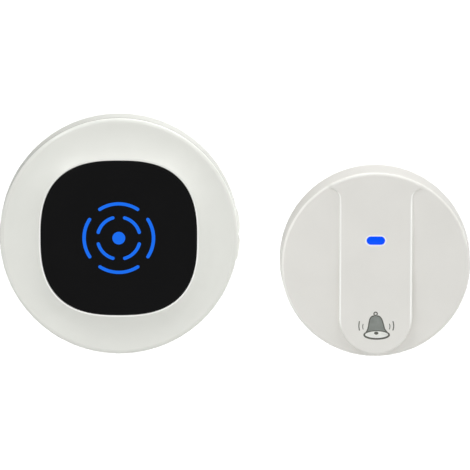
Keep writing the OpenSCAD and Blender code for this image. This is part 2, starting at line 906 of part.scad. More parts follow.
// Round body of the cover: straight wall, then the rim's fillet, closed by the sloping wings
function cover_rows() =
  let (
    row = function (r, drop)
      [for (i = [0:sides - 1]) let (a = i * 360 / sides)
        [r * cos(a), r * sin(a), wing_z(r * sin(a)) - drop]]
  )
  concat(
    [[for (i = [0:sides - 1]) let (a = i * 360 / sides)
      [cover_back_r * cos(a), cover_back_r * sin(a), cover_gap]]],
    [for (i = [0:4]) let (a = i * 22.5)
      row(cover_front_r - rim_fillet * (1 - cos(a)), rim_fillet * (1 - sin(a)))]
  );

function bar_rows() =
  let (
    lifted = function (inset, drop)
      [for (p = bar_outline(inset)) [p[0], p[1], bar_z(p[1]) - drop]]
  )
  concat(
    [[for (p = bar_outline(0)) [p[0], p[1], wing_z(p[1]) - rim_fillet]]],
    [for (i = [0:4]) let (a = i * 22.5) lifted(bar_fillet * (1 - cos(a)), bar_fillet * (1 - sin(a)))]
  );

module lens_outline(grow) {
  translate([0, lens_y])
    stadium(lens_w + 2 * grow, lens_h + 2 * grow);
}

module at_hinge(x, length, r) {
  translate([x, hinge_y, hinge_z])
    rotate([0, 90, 0])
      cylinder(r = r, h = length, $fn = rounds);
}

// An ear of the cover: a plate with a round end about the hinge axis, rooted in the front wall
module cover_ear(x) {
  at_hinge(x, ear_t, ear_r);
  translate([x, hinge_y - ear_r, hinge_z])
    cube([ear_t, 2 * ear_r, big]);
}

// An ear of the base: the same plate, rooted in the base's straight wall
module base_ear(x) {
  at_hinge(x, ear_t, ear_r);
  translate([x, flat_y - 0.5, hinge_z - ear_r])
    cube([ear_t, hinge_y - flat_y + 0.5, 2 * ear_r]);
}

// The part of the children that lies within the given angle of straight down
module catch_wedge(angle) {
  intersection() {
    children();
    translate([0, 0, -big])
      linear_extrude(2 * big)
        polygon([[0, 0], big * [-sin(angle), -cos(angle)], big * [sin(angle), -cos(angle)]]);
  }
}

// Button: moulded cover, with the sloping wings, the raised bar, hinge ears, press post and catch
module button_cover() {
  lip_r = cavity_r - 1.5;
  color(FACE)
    on_button()
      difference() {
        union() {
          difference() {
            union() {
              skin(cover_rows());
              skin(bar_rows());
            }
            intersection() {
              disc(cavity_r, -1, big);
              under_plane(wing_z0 - cover_front, wing_tilt);
            }
            intersection() {
              translate([0, -1, 0])
                linear_extrude(big)
                  rotate(90)
                    stadium(2 * bar_low + 2 * bar_half - 5, 2 * bar_half - 2 * cover_front);
              under_plane(bar_z0 - cover_front, bar_tilt);
            }
          }
          intersection() {
            union() {
              for (x = [cover_ear_x, -cover_ear_x - ear_t])
                cover_ear(x);
              translate([0, switch_y, cap_top_z + touch])
                cylinder(r = post_r, h = big, $fn = rounds);
            }
            disc(cavity_r + 0.2, -1, big);
            under_plane(bar_z0 - 1, bar_tilt);
          }
          catch_wedge(catch_angle)
            ring_tube(cavity_r + 0.2, lip_r, cover_gap, floor_back_z - touch);
        }
        for (x = [cover_ear_x, -cover_ear_x - ear_t])
          at_hinge(x - 1, ear_t + 2, hinge_r + run);
        translate([0, 0, cap_top_z])
          linear_extrude(big)
            lens_outline(fit);
      }
}

// Button: clear lens in the bar, with a flange glued behind it
module led_lens() {
  color(GLOW)
    on_button()
      union() {
        intersection() {
          translate([0, 0, stem_top_z])
            linear_extrude(big)
              lens_outline(0);
          under_plane(bar_z0 - 0.02, bar_tilt);
          translate([0, 0, bar_z(lens_y) - cover_front - 1.2])
            disc(big, 0, big);
        }
        intersection() {
          translate([0, 0, stem_top_z])
            linear_extrude(big)
              lens_outline(1);
          under_plane(bar_z0 - cover_front - fit, bar_tilt);
          translate([0, 0, bar_z(lens_y) - cover_front - 1.2])
            disc(big, 0, big);
        }
      }
}

// Button: steel hinge pin, held in the base's ears
module hinge_pin() { color(STEEL) on_button() at_hinge(-pin_half, 2 * pin_half, hinge_r); }

// Round plan of the base, cut straight across at the hinge
module base_plan(r, top_y) {
  intersection() {
    circle(r = r, $fn = sides);
    translate([-big, -big])
      square([2 * big, big + top_y]);
  }
}

// Button: base, a wedge-shaped tub that clips over the wall plate
module button_base() {
  wall_top = lid_back_z0 - seal_t;
  color(WHITE)
    on_button()
      difference() {
        union() {
          difference() {
            intersection() {
              translate([0, 0, 0.4])
                linear_extrude(big)
                  base_plan(base_r, flat_y);
              under_plane(wall_top, wing_tilt);
            }
            translate([0, 0, floor_front_z])
              linear_extrude(big)
                base_plan(base_r - base_wall, flat_y - base_wall);
            translate([0, 0, -1])
              linear_extrude(floor_back_z + 1)
                base_plan(plate_r + 0.3, big);
          }
          intersection() {
            for (x = [base_ear_x, -base_ear_x - ear_t])
              base_ear(x);
            disc(base_r, 0, big);
          }
          intersection() {
            for (p = lid_screw_spots)
              translate([p[0], p[1], 0])
                disc(lid_boss_r, floor_back_z + eps, big);
            under_plane(wall_top, wing_tilt);
          }
        }
        for (p = lid_screw_spots)
          translate([p[0], p[1], 0])
            disc(lid_screw_r + 0.02, floor_front_z + 0.6, big);
        for (x = [base_ear_x, -base_ear_x - ear_t])
          at_hinge(x - 1, ear_t + 2, hinge_r + 0.02);
        translate([0, -cell_drop, 0]) {
          disc(door_r + 0.1, -1, floor_front_z + 1);
          intersection() {
            disc(door_r + door_tab + 0.2, -1, floor_front_z + 1);
            translate([-big, -4.2, -big])
              cube([2 * big, 8.4, 2 * big]);
          }
        }
        for (s = [0, 180])
          rotate(s)
            translate([latch_x - latch_slack, -latch_h / 2 - 0.3, floor_back_z - 1])
              cube([latch_slack + latch_t + 0.3, latch_h + 0.6, base_floor + 2]);
        catch_wedge(catch_angle + 3)
          ring_tube(base_r + 1, base_r - 1.3, -1, floor_back_z);
        for (s = [-1, 1])
          translate([s * base_r, 0, 1])
            cube([3, 6, 2.4], center = true);
      }
}

// Button: battery door, a disc with a coin slot and two bayonet tabs
module battery_door() {
  color(WHITE)
    on_button()
      translate([0, -cell_drop, 0])
        difference() {
          union() {
            disc(door_r, floor_back_z + 0.05, floor_front_z + 0.05);
            intersection() {
              ring_tube(door_r + door_tab, door_r - 1, floor_front_z, floor_front_z + 0.35);
              translate([-4, -big, floor_front_z + 0.05])
                cube([8, 2 * big, big]);
            }
          }
          translate([-6, -0.8, 0])
            cube([12, 1.6, floor_back_z + 0.7]);
        }
}

// Button: coin cell
module coin_cell() {
  color(STEEL)
    on_button()
      translate([0, -cell_drop, 0])
        rotate_extrude($fn = sides)
          polygon([[0, cell_z], [cell_r - 1.1, cell_z], [cell_r - 0.9, cell_z + 0.4],
            [cell_r - 0.2, cell_z + 0.4], [cell_r, cell_z + 0.7], [cell_r, cell_top_z - 0.3],
            [cell_r - 0.3, cell_top_z], [0, cell_top_z]]);
}

// Button: positive strap over the coin cell, under the board
module cell_clip() {
  reach = cell_r + 0.2;
  color(BRASS)
    on_button()
      translate([0, -cell_drop, 0]) {
        translate([-reach - leaf_t, -1.5, cell_top_z])
          cube([2 * reach + 2 * leaf_t, 5, leaf_t]);
        for (x = [-reach - leaf_t, reach])
          translate([x, -1.5, cell_z + 1])
            cube([leaf_t, 5, cell_t - 1 + eps]);
      }
}

// Button: negative leaf under the coin cell, turned up to the board
module cell_leaf() {
  end_x = cell_r + 1.4;
  low_z = floor_front_z + 0.1;
  color(BRASS)
    on_button()
      translate([0, -cell_drop, 0]) {
        translate([-5, 5, low_z])
          cube([end_x + 5 + leaf_t, 2.4, leaf_t]);
        translate([end_x, 5, low_z])
          cube([leaf_t, 2.4, pcb_z - low_z]);
      }
}

module board_plan(grow) {
  intersection() {
    circle(r = pcb_r + grow, $fn = sides);
    translate([-big, pcb_low_y])
      square([2 * big, pcb_high_y - pcb_low_y]);
  }
}

// Button: circuit board, cut out round the lid's screw bosses
module button_board() {
  color(GREEN)
    on_button()
      difference() {
        translate([0, 0, pcb_z])
          linear_extrude(pcb_t)
            board_plan(0);
        for (p = lid_screw_spots)
          translate([p[0], p[1], 0])
            disc(lid_boss_r + 0.4, 0, big);
      }
}

// Button: push switch on the board, bored for its stem
module button_switch() {
  color(CHIP)
    on_button()
      translate([0, switch_y, 0])
        difference() {
          translate([-3, -3, pcb_front_z])
            cube([6, 6, switch_body_t]);
          disc(stem_r + run, switch_top_z - stem_in - 0.5, switch_top_z + 1);
        }
}

// Button: stem of the push switch
module button_switch_stem() {
  color(BLACK)
    on_button()
      translate([0, switch_y, 0])
        disc(stem_r, switch_top_z - stem_in, stem_top_z);
}

// Button: rubber cap on the stem, in the lid's opening
module switch_cap() {
  color(RUBBER)
    on_button()
      translate([0, switch_y, 0])
        difference() {
          rotate_extrude($fn = rounds)
            polygon([[0, cap_bottom_z], [cap_r, cap_bottom_z], [cap_r, cap_top_z - 0.6],
              [cap_r - 0.6, cap_top_z], [0, cap_top_z]]);
          disc(stem_r + 0.02, cap_bottom_z - 1, stem_top_z);
        }
}

// Button: light under the lens
module button_led() {
  bulb_r = 1.5;
  top_z = pcb_front_z + 4;
  color(GLOW)
    on_button()
      translate([0, lens_y, 0])
        union() {
          disc(bulb_r + 0.3, pcb_front_z, pcb_front_z + 0.8);
          disc(bulb_r, pcb_front_z, top_z - bulb_r);
          translate([0, 0, top_z - bulb_r])
            sphere(r = bulb_r, $fn = rounds);
        }
}

// Button: transmitter chip
module transmitter_chip() {
  color(CHIP)
    on_button()
      translate([-15, chip_y, pcb_front_z])
        cube([5, chip_h, 1.4]);
}

// Button: crystal that sets the radio's frequency
module radio_crystal() {
  color(STEEL)
    on_button()
      translate([-12, crystal_y, pcb_front_z])
        linear_extrude(1.2)
          stadium(6, crystal_w);
}

// Button: wire aerial along the board's edge
module button_antenna() {
  wire_r = 0.4;
  color(COPPER)
    on_button()
      rotate([0, 0, -3])
        rotate_extrude(angle = 28, $fn = sides)
          translate([pcb_r - 1.8, pcb_front_z + wire_r])
            circle(r = wire_r, $fn = rounds);
}

// Height of a lid screw's head face, just under the sloping lid
function lid_head_z(y) = lid_front_z0 + tilt_slope * (y - lid_head_r);

module lid_slab(r, top_y, low_z0, high_z0) {
  difference() {
    intersection() {
      linear_extrude(big)
        base_plan(r, top_y);
      under_plane(high_z0, wing_tilt);
    }
    under_plane(low_z0, wing_tilt);
  }
}

// Button: inner lid that closes the base, parallel to the wings
module inner_lid() {
  color(WHITE)
    on_button()
      difference() {
        lid_slab(base_r, flat_y, lid_back_z0, lid_front_z0);
        translate([0, switch_y, 0])
          disc(cap_r + cap_clear, 0, big);
        translate([0, lens_y, 0])
          disc(2.1, 0, big);
        translate([-2.1, switch_y, 0])
          cube([4.2, lens_y - switch_y, big]);
        for (p = lid_screw_spots)
          translate([p[0], p[1], lid_head_z(p[1])]) {
            disc(lid_screw_r + 0.2, -big, 0);
            translate([0, 0, -lid_head_t])
              cylinder(r1 = lid_screw_r + 0.2, r2 = lid_screw_r + 0.2 + lid_head_t + 0.5,
                h = lid_head_t + 0.5, $fn = rounds);
          }
      }
}

// Button: seal between the base's rim and the lid
module lid_seal() {
  color(RUBBER)
    on_button()
      difference() {
        lid_slab(base_r - 0.3, flat_y - 0.3, lid_back_z0 - seal_t, lid_back_z0);
        translate([0, 0, -1])
          linear_extrude(big)
            base_plan(base_r - base_wall + 0.2, flat_y - base_wall + 0.2);
      }
}

// Button: four screws that hold the lid
module lid_screws() {
  color(STEEL)
    on_button()
      for (p = lid_screw_spots)
        translate([p[0], p[1], lid_head_z(p[1])]) {
          translate([0, 0, -lid_head_t])
            cylinder(r1 = lid_screw_r, r2 = lid_head_r, h = lid_head_t, $fn = rounds);
          disc(lid_screw_r, floor_front_z + 1 - lid_head_z(p[1]), eps - lid_head_t);
        }
}

// Button: wall plate with two countersunk screw holes, tape pockets and two latches
module wall_plate() {
  sink_r = wall_screw_r + 1.9;
  color(WHITE)
    on_button()
      difference() {
        union() {
          disc(plate_r, 0, plate_t);
          for (s = [0, 180])
            rotate(s)
              translate([latch_x, -latch_h / 2, plate_t - 1]) {
                cube([latch_t, latch_h, base_floor + 2]);
                translate([0, 0, base_floor + 1 + touch])
                  cube([latch_t + 0.3 + latch_reach, latch_h, 1 - touch]);
              }
        }
        for (s = [-1, 1])
          translate([0, s * wall_screw_pitch / 2, 0]) {
            disc(wall_screw_r, -1, plate_t + 1);
            translate([0, 0, plate_t - 1.2])
              cylinder(r1 = wall_screw_r, r2 = sink_r, h = 1.2 + eps, $fn = rounds);
          }
        for (s = [-1, 1])
          translate([s * tape_x - tape_w / 2 - 0.1, -tape_h / 2 - 0.1, -1])
            cube([tape_w + 0.2, tape_h + 0.2, tape_t + 1]);
      }
}

// Button: two strips of double-sided foam tape in the wall plate's pockets
module tape_strips() {
  color(RUBBER)
    on_button()
      for (s = [-1, 1])
        translate([s * tape_x - tape_w / 2, -tape_h / 2, 0])
          cube([tape_w, tape_h, tape_t]);
}

chime_front_shell();
chime_rear_shell();
display_panel();
light_guide();
light_shroud();
display_leds();
main_board();
melody_key();
volume_key();
melody_switch();
volume_switch();
melody_switch_stem();
volume_switch_stem();
speaker_gasket();
speaker_frame();
speaker_cone();
speaker_magnet();
grille_cloth();
power_transformer();
filter_capacitor();
mains_fuse();
melody_chip();
receiver_module();
chime_antenna();
plug_insert();
plug_pins();
mains_contacts();
chime_screws();
button_cover();
led_lens();
hinge_pin();
button_base();
inner_lid();
lid_seal();
lid_screws();
button_board();
button_switch();
button_switch_stem();
switch_cap();
button_led();
transmitter_chip();
radio_crystal();
button_antenna();
coin_cell();
cell_clip();
cell_leaf();
battery_door();
wall_plate();
tape_strips();
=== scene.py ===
import math

import bmesh
import bpy
import numpy as np
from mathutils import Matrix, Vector


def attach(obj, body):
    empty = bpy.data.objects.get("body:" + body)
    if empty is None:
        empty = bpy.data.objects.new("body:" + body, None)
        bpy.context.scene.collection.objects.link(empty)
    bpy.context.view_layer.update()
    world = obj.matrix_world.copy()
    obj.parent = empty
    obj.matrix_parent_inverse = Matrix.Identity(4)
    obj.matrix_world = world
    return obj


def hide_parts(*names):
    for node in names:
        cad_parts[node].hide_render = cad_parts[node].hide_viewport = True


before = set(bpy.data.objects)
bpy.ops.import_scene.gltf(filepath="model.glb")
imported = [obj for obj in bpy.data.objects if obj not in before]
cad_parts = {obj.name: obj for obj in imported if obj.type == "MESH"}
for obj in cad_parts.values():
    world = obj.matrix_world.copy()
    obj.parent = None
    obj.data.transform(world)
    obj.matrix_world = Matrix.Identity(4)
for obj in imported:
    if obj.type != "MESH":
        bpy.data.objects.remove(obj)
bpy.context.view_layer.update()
scene = bpy.context.scene
scene.view_settings.view_transform = "Standard"


# ------------------------------ studio
# Both units hang free on a white ground, as in the photograph: a pale floor lies well below
# them, and a pale sky stands all round, dark only behind them on the left. Five soft lamps
# stand about them, two small ones near the gap between them, and one lights the floor.

floor_z, floor_reach, floor_cells = -0.25, 16.0, 8
floor_tone, floor_tone_depth, floor_cloud = (0.70, 0.70, 0.695), 0.01, 0.4
floor_rough, floor_gloss = 0.95, 0.1
sky_low, sky_high = (0.56, 0.56, 0.56), (0.85, 0.85, 0.85)
sky_bright_side = (0.10, -0.75, 0.45)
sky_dark_side, sky_dark_edge, sky_dark_rest = (-0.75, 0.65, 0.0), 0.6, 0.05


def link(tree, source, target):
    """Joins an output to an input."""
    tree.links.new(source, target)


def add_node(tree, kind, inputs={}, **settings):
    """A new node of a kind, with its settings and the values of its inputs."""
    node = tree.nodes.new(kind)
    for key, value in settings.items():
        setattr(node, key, value)
    for socket, value in inputs.items():
        node.inputs[socket].default_value = value
    return node


def floor_finish():
    """Matt paper: a slow, faint cloudiness between two pale tones."""
    material = bpy.data.materials.new("studio_paper")
    material.use_nodes = True
    tree = material.node_tree
    shader = tree.nodes["Principled BSDF"]
    place = add_node(tree, "ShaderNodeTexCoord")
    cloud = add_node(tree, "ShaderNodeTexNoise", {"Scale": floor_cloud})
    ramp = add_node(tree, "ShaderNodeValToRGB")
    ramp.color_ramp.elements[0].color = (*[c * (1 - floor_tone_depth) for c in floor_tone], 1)
    ramp.color_ramp.elements[1].color = (*floor_tone, 1)
    link(tree, place.outputs["Object"], cloud.inputs["Vector"])
    link(tree, cloud.outputs["Fac"], ramp.inputs["Fac"])
    link(tree, ramp.outputs["Color"], shader.inputs["Base Color"])
    shader.inputs["Roughness"].default_value = floor_rough
    shader.inputs["Specular IOR Level"].default_value = floor_gloss
    return material


def quads(rows, columns, ring_rows=False, ring_columns=True):
    """Faces between the neighbouring points of a grid whose rows follow each other."""
    r = np.arange(rows if ring_rows else rows - 1)[:, None]
    c = np.arange(columns if ring_columns else columns - 1)[None, :]
    r1, c1 = (r + 1) % rows, (c + 1) % columns
    corners = [r * columns + c, r * columns + c1, r1 * columns + c1, r1 * columns + c]
    return np.stack(corners, -1).reshape(-1, 4)


edge = np.linspace(-floor_reach, floor_reach, floor_cells + 1)
across, along = np.meshgrid(edge, edge)
floor_points = np.stack([across.ravel(), along.ravel(), np.full(across.size, floor_z)], 1)
floor_faces = quads(floor_cells + 1, floor_cells + 1, ring_columns=False)
floor_mesh = bpy.data.meshes.new("studio_floor")
floor_mesh.from_pydata(floor_points.tolist(), [], floor_faces.tolist())
floor_mesh.materials.append(floor_finish())
floor = bpy.data.objects.new("studio_floor", floor_mesh)
scene.collection.objects.link(floor)

world = bpy.data.worlds.new("pale_sky")
world.use_nodes = True
scene.world = world
sky = world.node_tree
where = add_node(sky, "ShaderNodeTexCoord")
facing = add_node(sky, "ShaderNodeVectorMath", {1: sky_bright_side}, operation="DOT_PRODUCT")
spread = add_node(sky, "ShaderNodeMapRange", {"From Min": -1.0, "From Max": 1.0})
fade = add_node(sky, "ShaderNodeValToRGB")
fade.color_ramp.elements[0].color = (*sky_low, 1)
fade.color_ramp.elements[1].color = (*sky_high, 1)
turned_away = add_node(sky, "ShaderNodeVectorMath", {1: sky_dark_side},
                       operation="DOT_PRODUCT")
shade = add_node(sky, "ShaderNodeMapRange",
                 {"From Min": 0.0, "From Max": sky_dark_edge, "To Min": 1.0,
                  "To Max": sky_dark_rest}, interpolation_type="SMOOTHSTEP")
link(sky, where.outputs["Generated"], facing.inputs[0])
link(sky, where.outputs["Generated"], turned_away.inputs[0])
link(sky, facing.outputs["Value"], spread.inputs["Value"])
link(sky, spread.outputs["Result"], fade.inputs["Fac"])
link(sky, fade.outputs["Color"], sky.nodes["Background"].inputs["Color"])
link(sky, turned_away.outputs["Value"], shade.inputs["Value"])
link(sky, shade.outputs["Result"], sky.nodes["Background"].inputs["Strength"])


def soft_lamp(name, place, aim, width, depth, power):
    """A rectangular lamp at a place, turned so that its face looks at the aim point."""
    lamp = bpy.data.lights.new(name, "AREA")
    lamp.shape = "RECTANGLE"
    lamp.size, lamp.size_y, lamp.energy = width, depth, power
    holder = bpy.data.objects.new(name, lamp)
    scene.collection.objects.link(holder)
    holder.visible_camera = False
    look = Vector(aim) - Vector(place)
    holder.location = place
    holder.rotation_euler = look.to_track_quat("-Z", "Y").to_euler()
    return holder


# Each lamp's place, aim, width, depth and power, in metres and watts.
set_middle = (0.04, 0.0, 0.0)
soft_lamp("main_lamp", (0.06, -0.38, 0.55), set_middle, 0.80, 0.08, 0.67)
soft_lamp("back_lamp", (0.14, 0.34, 0.88), set_middle, 1.20, 0.80, 4.4)
soft_lamp("left_lamp", (-0.38, -0.34, 0.50), set_middle, 0.35, 0.08, 0.98)
soft_lamp("side_lamp", (0.80, -0.05, 0.06), set_middle, 0.12, 0.5, 1.1)
soft_lamp("low_lamp", (-0.12, -0.43, -0.20), (0.0, 0.0, 0.0), 0.9, 0.12, 0.42)
soft_lamp("gap_lamp", (0.052, -0.008, 0.095), (0.052, -0.008, 0.0), 0.04, 0.03, 0.0094)
soft_lamp("card_lamp", (0.0525, -0.012, -0.004), (0.0, -0.012, -0.004), 0.02, 0.05, 0.001)
ground_lamp = soft_lamp("ground_lamp", (0.04, 1.9, 1.3), (0.04, 1.9, floor_z), 1.0, 3.0, 14.0)
ground_lamp_spread = 60
ground_lamp.data.spread = math.radians(ground_lamp_spread)

view_height, view_distance = 9.3, 1.9
view_target = (0.03875, -0.013, -0.00128)
lens_length, film_width, nearest, farthest = 433.2, 36.0, 0.05, 60.0
camera_data = bpy.data.cameras.new("camera")
camera_data.lens, camera_data.sensor_width = lens_length, film_width
camera_data.clip_start, camera_data.clip_end = nearest, farthest
camera = bpy.data.objects.new("camera", camera_data)
scene.collection.objects.link(camera)
tip = math.radians(view_height)
camera.location = (view_target[0], view_target[1] - view_distance * math.cos(tip),
                   view_target[2] + view_distance * math.sin(tip))
camera.rotation_euler = (math.radians(90) - tip, 0, 0)
scene.camera = camera


# ------------------------------ chime front shell
# One moulding in satin white plastic: a side wall with a flat ring, and a hollow flare that
# starts round at the ring and ends as the panel's rounded square. Four tubes inside take
# the case screws, and two openings in the right wall take the keys.

chime_centre = (0.0, 0.0)
shell_back, shell_r, rim_r, shell_inner_r = 13.0, 40.0, 39.85, 38.0
ring_level, ring_inner_r, rim_rounding, back_rounding = 24.4, 37.5, 1.6, 0.2
lip_level, lip_half, lip_rounding, flare_power = 27.5, 26.5, 0.22, 2.1
seat_level, seat_half, ledge_half, skin_back = 25.4, 26.15, 24.0, 22.2
panel_power = 2.665
window_low, window_high, window_low_r, window_high_r = 15.75, 20.45, 39.97, 39.92
window_ends, window_reach, shell_steps = np.array([-9.05, -0.35, 0.35, 9.05]), 11.0, 384
tube_ring, tube_angles, tube_bore, tube_r = 30.8, (38, 142, 218, 322), 1.22, 3.4
tube_low, tube_high, tube_steps = 16.15, 23.4, 48
# The edge tone is a painted highlight: the paler colour that marked edges get, beside their lower
# roughness.
white_tone, painted_highlight_tone, edge_rough = (0.768, 0.776, 0.730), (0.98, 0.98, 0.95), 0.20
moulded_satin = {"depth": 0.012, "grain": 0.45, "bump": 0.05, "rough": (0.34, 0.42)}
# The lip's painted highlight: its strength, how much weaker it is at the top, and how deep it
# reaches.
lip_highlight_level, lip_highlight_swing, lip_highlight_depth = 0.95, 0.35, 0.25
rim_shine, rim_shine_width, rim_shine_depth = 0.5, 1.5, 1.2
sharp_angle, bevel_angle, edge_break = math.radians(38), math.radians(50), 0.12
seam_gap, speck = 2e-6, 1e-7


def finish(name, tone, depth=0.02, cloud=70.0, grain=0.35, bump=0.05, rough=(0.40, 0.50),
           metal=0.0, specular=0.5, stretch=(1, 1, 1), coat=0.0):
    """Two tones of one colour mixed by slow cloudiness, with roughness and bump that follow a
    fine grain. Grain is its size in millimetres, and stretch draws it out along the axes."""
    cloud_start, cloud_end, cloud_detail, grain_detail, grain_height = 0.35, 0.65, 3.0, 2.0, 1e-4
    material = bpy.data.materials.new(name)
    material.use_nodes = True
    tree = material.node_tree
    shader = tree.nodes["Principled BSDF"]
    place = add_node(tree, "ShaderNodeTexCoord")
    turn = add_node(tree, "ShaderNodeMapping", {"Scale": stretch})
    link(tree, place.outputs["Object"], turn.inputs["Vector"])
    slow = add_node(tree, "ShaderNodeTexNoise", {"Scale": cloud, "Detail": cloud_detail})
    link(tree, turn.outputs["Vector"], slow.inputs["Vector"])
    blend = add_node(tree, "ShaderNodeValToRGB")
    darker, paler = blend.color_ramp.elements
    darker.position, paler.position = cloud_start, cloud_end
    darker.color = (*[c * (1 - depth) for c in tone], 1)
    paler.color = (*[min(1.0, c * (1 + depth)) for c in tone], 1)
    link(tree, slow.outputs["Fac"], blend.inputs["Fac"])
    link(tree, blend.outputs["Color"], shader.inputs["Base Color"])
    fine = add_node(tree, "ShaderNodeTexNoise", {"Scale": 1000.0 / grain,
                                                 "Detail": grain_detail})
    link(tree, turn.outputs["Vector"], fine.inputs["Vector"])
    spread = add_node(tree, "ShaderNodeMapRange", {"To Min": rough[0], "To Max": rough[1]})
    link(tree, fine.outputs["Fac"], spread.inputs["Value"])
    link(tree, spread.outputs["Result"], shader.inputs["Roughness"])
    if bump:
        relief = add_node(tree, "ShaderNodeBump", {"Strength": bump, "Distance": grain_height})
        link(tree, fine.outputs["Fac"], relief.inputs["Height"])
        link(tree, relief.outputs["Normal"], shader.inputs["Normal"])
    shader.inputs["Metallic"].default_value = metal
    shader.inputs["Specular IOR Level"].default_value = specular
    shader.inputs["Coat Weight"].default_value = coat
    return material


def glossy_edges_with_painted_highlight(material, highlight_tone, rough):
    """Smoother where a piece's gloss value nears 0.5, and painted paler as a highlight where it
    nears 1.
    """
    tree = material.node_tree
    shader = tree.nodes["Principled BSDF"]
    gloss_and_highlight = add_node(tree, "ShaderNodeAttribute", attribute_name="shine_and_painted_highlight")
    # Colour: a painted highlight from one half up. Roughness: real gloss from nothing up.
    for socket, kind, value, start in (("Base Color", "RGBA", (*highlight_tone, 1), 0.5),
                                       ("Roughness", "FLOAT", rough, 0.0)):
        source = shader.inputs[socket].links[0].from_socket
        share = add_node(tree, "ShaderNodeMapRange", {"From Min": start, "From Max": start + 0.5})
        link(tree, gloss_and_highlight.outputs["Fac"], share.inputs["Value"])
        blend = add_node(tree, "ShaderNodeMix", data_type=kind)
        first, last, result = {"RGBA": (6, 7, 2), "FLOAT": (2, 3, 0)}[kind]
        link(tree, share.outputs["Result"], blend.inputs[0])
        link(tree, source, blend.inputs[first])
        blend.inputs[last].default_value = value
        link(tree, blend.outputs[result], shader.inputs[socket])
    return material


def soften(path, cuts, steps):
    """A closed path whose corners are rounded. A corner c with the points a and b at its cut
    before and after it becomes c + (a - c)(1 - sin t) + (b - c)(1 - cos t), t from 0 to 90
    degrees. The last two values of a path point are its radius and its height."""
    path, cuts = np.array(path, float), np.array(cuts, float)[:, None, None]
    t = np.radians(np.linspace(0, 90, steps + 1))[None, :, None]
    legs = []
    for turn in (1, -1):
        leg = np.roll(path, turn, 0) - path
        legs.append((leg / np.hypot(leg[:, -1], np.abs(leg[:, :-1]).max(1))[:, None])[:, None])
    rounded = path[:, None] + cuts * (legs[0] * (1 - np.sin(t)) + legs[1] * (1 - np.cos(t)))
    rounded = rounded.reshape(-1, path.shape[1])
    moved = np.abs(rounded - np.roll(rounded, 1, 0)).max(1) > 1e-6
    return rounded[moved]


def gather(parts):
    """Joins (points, faces) pairs into one set, with each part's faces counted on."""
    starts = np.cumsum([0] + [len(points) for points, _ in parts[:-1]])
    faces = [[int(i) + int(start) for i in face] for (_, group), start in zip(parts, starts)
             for face in group]
    return np.concatenate([points for points, _ in parts]), faces


def turned(profile, columns, spot=(0, 0)):
    """A closed profile of (radius, height) turned about an axis that stands on a spot."""
    profile = np.array(profile, float)
    a = np.linspace(0, 2 * np.pi, columns, endpoint=False)[None, :]
    r, z = profile[:, :1], profile[:, 1:]
    points = np.stack([spot[0] + r * np.cos(a), spot[1] + r * np.sin(a), z + 0 * a], -1)
    return points.reshape(-1, 3), quads(len(profile), columns, ring_rows=True)


def shade_evenly(piece):
    """Smooth shading up to the sharp edges, with large faces kept flat."""
    piece.data.shade_smooth()
    piece.data.set_sharp_from_angle(angle=sharp_angle)
    even = piece.modifiers.new("even_shading", "WEIGHTED_NORMAL")
    even.keep_sharp = True


def make_piece(name, points, faces, centre, material, slot, body, nodes, edge_cut=0.0,
               gloss_and_highlight=None):
    """Puts points (across, up, out from the wall, in millimetres from a unit's centre) into a
    mesh that stands in the shared frame, closes its seams and makes its faces look outwards.
    The gloss values say for each point how much glossier it is made, and from one half up how
    much it is painted paler as a highlight."""
    world_points = np.stack([points[:, 0] + centre[0], -points[:, 2],
                             points[:, 1] + centre[1]], 1) / 1000
    mesh = bpy.data.meshes.new(name)
    mesh.from_pydata(world_points.tolist(), [], [list(map(int, f)) for f in faces])
    if gloss_and_highlight is not None:
        mesh.attributes.new("shine_and_painted_highlight", "FLOAT", "POINT").data.foreach_set("value", gloss_and_highlight)
    work = bmesh.new()
    work.from_mesh(mesh)
    bmesh.ops.remove_doubles(work, verts=work.verts, dist=seam_gap)
    bmesh.ops.dissolve_degenerate(work, edges=work.edges, dist=speck)
    bmesh.ops.recalc_face_normals(work, faces=work.faces)
    work.to_mesh(mesh)
    work.free()
    mesh.materials.append(material)
    piece = bpy.data.objects.new(name, mesh)
    scene.collection.objects.link(piece)
    if edge_cut:
        cut = piece.modifiers.new("broken_edges", "BEVEL")
        cut.width, cut.segments = edge_cut / 1000, 2
        cut.limit_method, cut.angle_limit = "ANGLE", bevel_angle
        cut.miter_outer = "MITER_ARC"
    shade_evenly(piece)
    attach(piece, body)
    if nodes:
        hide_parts(*nodes)
    return piece


def squircle(angle, half):
    """Distance from the centre to the rounded square |x|^n + |y|^n = half^n at an angle."""
    return half / (np.abs(np.cos(angle)) ** panel_power
                   + np.abs(np.sin(angle)) ** panel_power) ** (1 / panel_power)


def key_columns():
    """Angles round the shell: even steps, but beside the key windows arcsin(up / radius) of
    heights that meet the windows' ends. Also the place of each end among the angles."""
    full = 2 * np.pi
    spread = np.linspace(0, full, shell_steps, endpoint=False)
    near = np.abs((spread + np.pi) % full - np.pi) < math.asin(window_reach / shell_r)
    marks = [-window_reach, *window_ends, window_reach]
    fill = np.concatenate([np.linspace(low, high, count)[:-1] for low, high, count
                           in zip(marks, marks[1:], (4, 15, 2, 15, 4))] + [[window_reach]])
    angles = np.sort(np.concatenate([spread[~near], np.arcsin(fill / shell_r) % full]))
    return angles, [int(np.argmin(np.abs(angles - np.arcsin(end / shell_r) % full)))
                    for end in window_ends]


